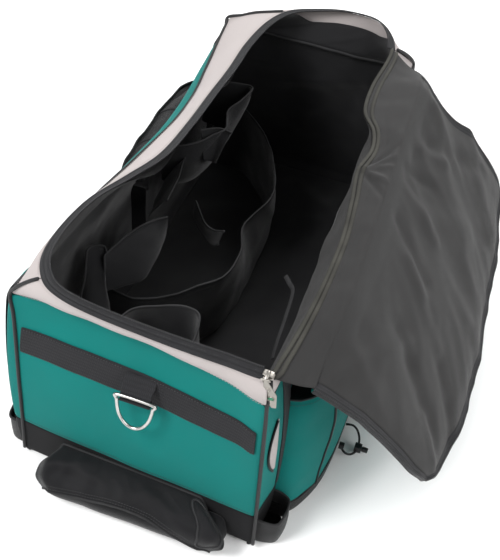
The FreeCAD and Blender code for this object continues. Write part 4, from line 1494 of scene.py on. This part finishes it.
END_POUCH_PROFILE = [(-358, 3), (-384, 3), (-395, 7), (-399, 18), (-398, 32), (-390, 41), (-360, 45)]
END_FLAP_PROFILE = [(-353, 61), (-366, 62), (-384, 59), (-397, 50), (-403, 38), (-404, 22)]
END_TOP = (-107 * MM, 99 * MM)      # where the pouch's seam ends on the wall, left and right
END_WIDE = (-119 * MM, 134 * MM)    # and how far it reaches lower down
# How far down its profile the flap's wavy hem comes, from the right end to the left one
END_HEM = [1.0, 0.99, 0.95, 0.84, 0.72, 0.69, 0.68, 0.68, 0.69, 0.71, 0.74, 0.76, 0.80, 0.84, 0.87, 0.88]
END_POUCH_LINE = flat_line(END_POUCH_PROFILE)
END_FLAP_LINE = flat_line(END_FLAP_PROFILE)
END_HEM_LINE = Line(spline([Vector((i / (len(END_HEM) - 1), h, 0)) for i, h in enumerate(END_HEM)]))
END_FOLDS = [((30, 22), (80, 44), 8, 3.0), ((-60, 14), (-104, 30), 9, 3.0), ((-40, 40), (-92, 34), 7, -3.4)]
GUSSET = (0.075, 0.50, 0.062, 0.40)    # its middle and half sizes on the flap

# A corner pocket's plan on the right, how far its top edge drops along it, and its floor's two long edges
CORNER_PLAN = [(146, -345), (168, -345), (184, -341), (189, -330), (190, -314), (184, -302), (152, -299)]
CORNER_DROP = [3, 9, 13, 13, 11, 8, 3]
CORNER_FLOOR = ([(150, -340), (150, -320), (150, -304)], [(184, -338), (187, -320), (182, -304)])


def end_pouch(u, v):
    """The end pouch: u from its left end to its right, v over its front from the floor to the top."""
    profile = END_POUCH_LINE.at(v)
    k = abs(2 * u - 1)
    full = max(1 - k ** 14, 0.0) ** 0.5
    middle = Vector((-372 * MM, 24 * MM, 0))
    p = middle.lerp(profile, full)
    dent = 1.6 * ripple(Vector((u * 0.26, v * 0.1, 0)), 26.0, 4.0) * full * MM
    reach = END_WIDE[1] - END_WIDE[0] - 8 * MM
    return Vector((END_WIDE[0] + 4 * MM + u * reach, p.x - dent, p.y))


def end_flap(u, v):
    """The end pouch's flap: u from its right end to its left, v from the seam to the hem."""
    p = END_FLAP_LINE.at(v * END_HEM_LINE.at(u).y)
    tuck = smoothstep(v, 0.7, 1.0)
    right = END_TOP[1] + (END_WIDE[1] - END_TOP[1]) * smoothstep(v, 0.0, 0.6) - 16 * MM * tuck
    left = END_TOP[0] + (END_WIDE[0] - END_TOP[0]) * smoothstep(v, 0.0, 0.5) + 12 * MM * tuck
    x = right + (left - right) * u
    end = smoothstep(abs(2 * u - 1), 0.86, 1.0)
    oval = ((u - GUSSET[0]) / GUSSET[2]) ** 2 + ((v - GUSSET[1]) / GUSSET[3]) ** 2
    puff = 2.2 * (1 - smoothstep(oval, 0.3, 1.0)) - 2.2 * near(oval, 1.15, 0.3)
    flat = (x, v * 60 * MM)
    fold = sum(crease(flat, Vector(start) * MM, Vector(stop) * MM, reach * MM, depth)
               for start, stop, reach, depth in END_FOLDS)
    place = Vector((x, v * 0.06, 0))
    fold += 2.0 * ripple(place, 24.0, 2.0) + 2.2 * crumple(place, 20.0, 5.0) - 1.5
    rise = (fold * arch(v, 0.5) * (1 - 0.7 * end) + puff) * MM
    droop = 20 * MM * end * end * (1 - 0.5 * v)
    y = p.x - FRONT_SKEW * x * (1 - v) - rise * 0.5 + 8 * MM * end * v
    return Vector((x, y, max(p.y - droop + rise * 0.8, 2.5 * MM)))


class BAG_OT_end_pouch(Sewing, bpy.types.Operator):
    """Sew the pouch at the near end's foot, with its wavy double-stitched flap, and the corner pockets"""
    bl_idname = "bag.end_pouch"
    bl_label = "End pouch and corner pockets"

    def execute(self, context):
        sewn("end_pouch_cloth", end_pouch, "black", replaces=("end_pouch",), step=5 * MM)
        sewn("end_pouch_flap_cloth", end_flap, "black", "end_flap", ("end_pouch_flap",),
             3.5 * MM)
        oval = [(GUSSET[0] + GUSSET[2] * math.cos(a), GUSSET[1] + GUSSET[3] * math.sin(a))
                for a in (math.tau * i / 12 for i in range(13))]
        edging("end_flap_piping", [(end_flap, [(i / 8, 0.02) for i in range(9)]),
                                   (end_flap, [(i / 16, 0.995) for i in range(17)])],
               "binding", "end_flap", 1.5 * MM)
        edging("end_flap_gusset", [(end_flap, oval)], "piping", "end_flap", 1.8 * MM)
        rows = [on_cloth(end_flap, [(i / 16, v) for i in range(17)][2:], steps=12) for v in (0.86, 0.92)]
        dress(stitched("end_flap_stitching", *rows), "thread", "end_flap")
        for side, sign, shift in (("right", 1, -10), ("left", -1, 12.9)):
            plan, inner, outer = ([(sign * x, y + shift) for x, y in line]
                                  for line in (CORNER_PLAN, *CORNER_FLOOR))
            plan, drop = plan[::sign], CORNER_DROP[::sign]
            top = high("corner_pocket_" + side).z / MM
            hem = [(x, y, top - d) for (x, y), d in zip(plan, drop)]
            pocket = between(level(plan, 2), hem, 2, 3.0 + sign, 1.6)
            floor = between(level(inner, 8), level(outer, 8), 0, 1)
            sewn(f"corner_pocket_{side}_cloth", pocket, "black",
                 replaces=("corner_pocket_" + side,), step=4 * MM)
            sewn(f"corner_pocket_{side}_floor", floor, "base")
            edging(f"corner_pocket_{side}_edge", [(pocket, TOP_EDGE)], "binding",
                   radius=1.8 * MM)
        return {"FINISHED"}


# ---- hardware ----
PULL_LEAN = math.radians(17)
PULL_LENGTH = 43 * MM
PULL_WIDTHS = [(0.0, 3.0), (0.03, 5.6), (0.09, 7.6), (0.3, 7.9), (0.72, 5.0), (0.93, 4.4), (1.0, 2.6)]


class BAG_OT_zip_hardware(Sewing, bpy.types.Operator):
    """Make the slider, its pull and the small tag"""
    bl_idname = "bag.zip_hardware"
    bl_label = "Zip slider and pull"

    def execute(self, context):
        pivot = Vector(JOINTS["zip_pull_swing"]["pos_m"])
        travel = Vector(JOINTS["zip_slide"]["axis"]).normalized()
        across = UP.cross(travel).normalized()
        across = -across if across.y > 0 else across
        base, cap = low("zip_slider").z, high("zip_slider").z
        centre = pivot - across * 9 * MM

        def bar(start, end, z, half_side, half_up, square=0.55):
            points = [centre + travel * (start + (end - start) * i / 6) * MM for i in range(7)]
            points = [Vector((p.x, p.y, z)) for p in points]
            return dict(points=points, half_side=half_side * MM, half_up=half_up * MM, sides=16,
                        square=square, taper=lambda share: 0.62 + 0.38 * arch(0.08 + 0.84 * share, 0.4))
        runs = [bar(-7, 7, base + 1.2 * MM, 5.4, 1.1), bar(-6.2, 6.2, cap - 1.1 * MM, 4.4, 1.0),
                bar(-3, 3, (base + cap) / 2, 2.4, 2.0)]
        arched = ((-3.5, cap - 1 * MM), (-1, cap + 1.6 * MM), (3, cap + 1.6 * MM), (7, pivot.z + 2 * MM),
                  (9, pivot.z + 0.2 * MM))
        bridge = spline([centre + across * a * MM + UP * (z - centre.z) for a, z in arched])
        runs.append(dict(points=bridge, half_side=2.0 * MM, half_up=0.8 * MM, square=0.6))
        pin = [pivot + travel * (i - 2) * 3.0 * MM for i in range(5)]
        runs.append(dict(points=pin, half_side=1.2 * MM, sides=12))
        slider = tubes("zip_slider_body", *runs, smooth=1)
        dress(slider, "zip_metal", "zip_slider", ("zip_slider",))
        self.pull(pivot)
        self.tag()
        return {"FINISHED"}

    def pull(self, pivot):
        down = Vector((math.sin(PULL_LEAN), 0, -math.cos(PULL_LEAN)))
        side = Vector((math.cos(PULL_LEAN), 0, math.sin(PULL_LEAN)))
        widths = Line([Vector((v, w, 0)) for v, w in PULL_WIDTHS])
        front = Vector((0, -1, 0))

        def plate(u, v):
            half = widths.at(v).y * MM
            inset = -0.5 * MM * (2 * u - 1) ** 8
            drop = 1.5 * MM + (PULL_LENGTH - 1.5 * MM) * (1 - v)
            return pivot + down * drop + side * (2 * u - 1) * half + front * (0.8 * MM + inset)
        piece = cloth("zip_pull_plate", plate, (16 * MM, PULL_LENGTH), (12, 26), 1.6 * MM)
        dress(piece, "zip_metal", "zip_pull", ("zip_pull",))

        def oval(at, wide, tall):
            spot = pivot + down * at * MM + front * 0.9 * MM
            return [spot + side * wide * MM * math.cos(a) + down * tall * MM * math.sin(a)
                    for a in (math.tau * i / 24 for i in range(24))]
        rings = [dict(points=oval(at, wide, tall), half_side=0.5 * MM, normal=front, closed=True)
                 for at, wide, tall in ((14, 2.9, 2.2), (28, 4.6, 3.2))]
        rings += [dict(points=[pivot + side * x * MM + down * k * MM for k in (-1.6, 0.5, 3)],
                       half_side=0.9 * MM, half_up=1.1 * MM, normal=front,
                       taper=lambda share: 0.8 + 0.2 * share) for x in (-3, 3)]
        dress(tubes("zip_pull_marks", *rings), "zip_metal", "zip_pull")
        enamel = bmesh.new()
        middle = pivot + down * 28 * MM + front * 0.9 * MM
        pellet(enamel, middle, side, front, (8.6 * MM, 5.8 * MM, 0.7 * MM))
        bmesh.ops.subdivide_edges(enamel, edges=enamel.edges, cuts=1)
        dress(to_object("zip_pull_enamel", enamel), "enamel", "zip_pull")

    def tag(self):
        lo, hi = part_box("side_tag")

        def ribbon(u, v):
            turn = math.pi * (v - 0.5)
            x = lo.x + (hi.x - lo.x) * (0.25 + 0.6 * math.cos(turn))
            return Vector((x, lo.y + (hi.y - lo.y) * u, lo.z + (hi.z - lo.z) * (0.5 + 0.5 * math.sin(turn))))
        sewn("side_tag_ribbon", ribbon, "enamel", replaces=("side_tag",), step=1.5 * MM,
             thick=0.8 * MM)


CORD_ROUTE = [(0.2214, -0.160, 0.024), (0.229, -0.157, 0.0245), (0.237, -0.159, 0.021),
              (0.243, -0.165, 0.015), (0.2455, -0.1735, 0.0095), (0.245, -0.1825, 0.0064),
              (0.241, -0.190, 0.0052), (0.234, -0.1935, 0.0064), (0.227, -0.192, 0.010),
              (0.222, -0.1875, 0.0145)]
CORD_DIAMETER = 0.003
LOCK_MIDDLE = Vector((0.2472, -0.1785, 0.0076))
# Where the lock's rings stand along it, in millimetres from its middle
BARREL_RINGS = (-6.4, -6, -4.6, -3.2, -1.8, -0.4, 1, 2.4, 3, 3.2)
PLUNGER_RINGS = (3.4, 4, 7, 9, 10.6, 11.6, 12.1)


class BAG_OT_drawcord(Sewing, bpy.types.Operator):
    """Lay the drawcord at the foot of the right pouch, with its lock and clip"""
    bl_idname = "bag.drawcord"
    bl_label = "Drawcord"

    def execute(self, context):
        curve = bpy.data.curves.new("drawcord_loop", "CURVE")
        curve.dimensions = "3D"
        run = curve.splines.new("NURBS")
        run.points.add(len(CORD_ROUTE) - 1)
        for point, place in zip(run.points, CORD_ROUTE):
            point.co = (*place, 1.0)
        run.order_u = 3
        run.use_endpoint_u = True
        run.resolution_u = 12
        curve.bevel_depth = CORD_DIAMETER / 2
        curve.bevel_resolution = 4
        curve.use_fill_caps = True
        loop = bpy.data.objects.new("drawcord_loop", curve)
        context.collection.objects.link(loop)
        dress(loop, "cord", replaces=("drawcord",))

        def ribs(share):
            return 0.86 + 0.14 * arch(0.06 + share * 0.9, 0.3) - 0.05 * (math.sin(share * 28) > 0.2)

        def dome(share):
            return 1 - 0.4 * smoothstep(share, 0.8, 1.0)
        barrel = dict(points=[LOCK_MIDDLE + Vector((x * MM, 0, 0)) for x in BARREL_RINGS],
                      half_side=5.9 * MM, half_up=6.0 * MM, sides=24, square=0.6, taper=ribs)
        lock = tubes("cord_lock_barrel", barrel, smooth=1)
        dress(lock, "plastic", replaces=("cord_lock",))
        plunger = dict(points=[LOCK_MIDDLE + Vector((x * MM, 0, 0)) for x in PLUNGER_RINGS],
                       half_side=3.7 * MM, sides=20, taper=dome)
        button = tubes("cord_lock_plunger", plunger, smooth=1)
        dress(button, "plastic", "lock_button", ("cord_lock_button",))
        lo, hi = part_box("cord_clip")
        middle = (lo + hi) / 2
        ridged = [Vector((lo.x + (hi.x - lo.x) * i / 12, middle.y, middle.z)) for i in range(13)]
        clip = tubes("cord_clip_ridged", dict(
            points=ridged, half_side=(hi.y - lo.y) / 2, half_up=(hi.z - lo.z) / 2, sides=16, square=0.6,
            taper=lambda share: 0.92 + 0.08 * math.cos(share * 25)))
        dress(clip, "plastic", replaces=("cord_clip",))
        return {"FINISHED"}


STEPS = (BAG_OT_stage, BAG_OT_drawcord, BAG_OT_base, BAG_OT_panels, BAG_OT_piping, BAG_OT_mouth_zip,
         BAG_OT_lining, BAG_OT_inner_pockets, BAG_OT_hinge_strip, BAG_OT_lid, BAG_OT_end_webbing,
         BAG_OT_side_straps, BAG_OT_right_pouch, BAG_OT_left_pouch, BAG_OT_end_pouch, BAG_OT_zip_hardware)


class BAG_PT_panel(bpy.types.Panel):
    """Lists the steps that make the bag"""
    bl_idname = "BAG_PT_panel"
    bl_label = "Gear Bag"
    bl_space_type = "VIEW_3D"
    bl_region_type = "UI"
    bl_category = "Gear Bag"

    def draw(self, context):
        layout = self.layout
        for name in BagLook.__annotations__:
            layout.prop(context.scene.bag_look, name)
        for name in StageLook.__annotations__:
            layout.prop(context.scene.bag_stage, name)
        for step in STEPS:
            layout.operator(step.bl_idname)


CLASSES = (BagLook, StageLook) + STEPS + (BAG_PT_panel,)


def register():
    for kind in CLASSES:
        bpy.utils.register_class(kind)
    bpy.types.Scene.bag_look = bpy.props.PointerProperty(type=BagLook)
    bpy.types.Scene.bag_stage = bpy.props.PointerProperty(type=StageLook)


def unregister():
    del bpy.types.Scene.bag_look
    del bpy.types.Scene.bag_stage
    for kind in reversed(CLASSES):
        bpy.utils.unregister_class(kind)


def main():
    register()
    make_finishes(bpy.context.scene.bag_look)
    for step in STEPS:
        group, name = step.bl_idname.split(".")
        getattr(getattr(bpy.ops, group), name)()


if __name__ == "__main__":
    main()
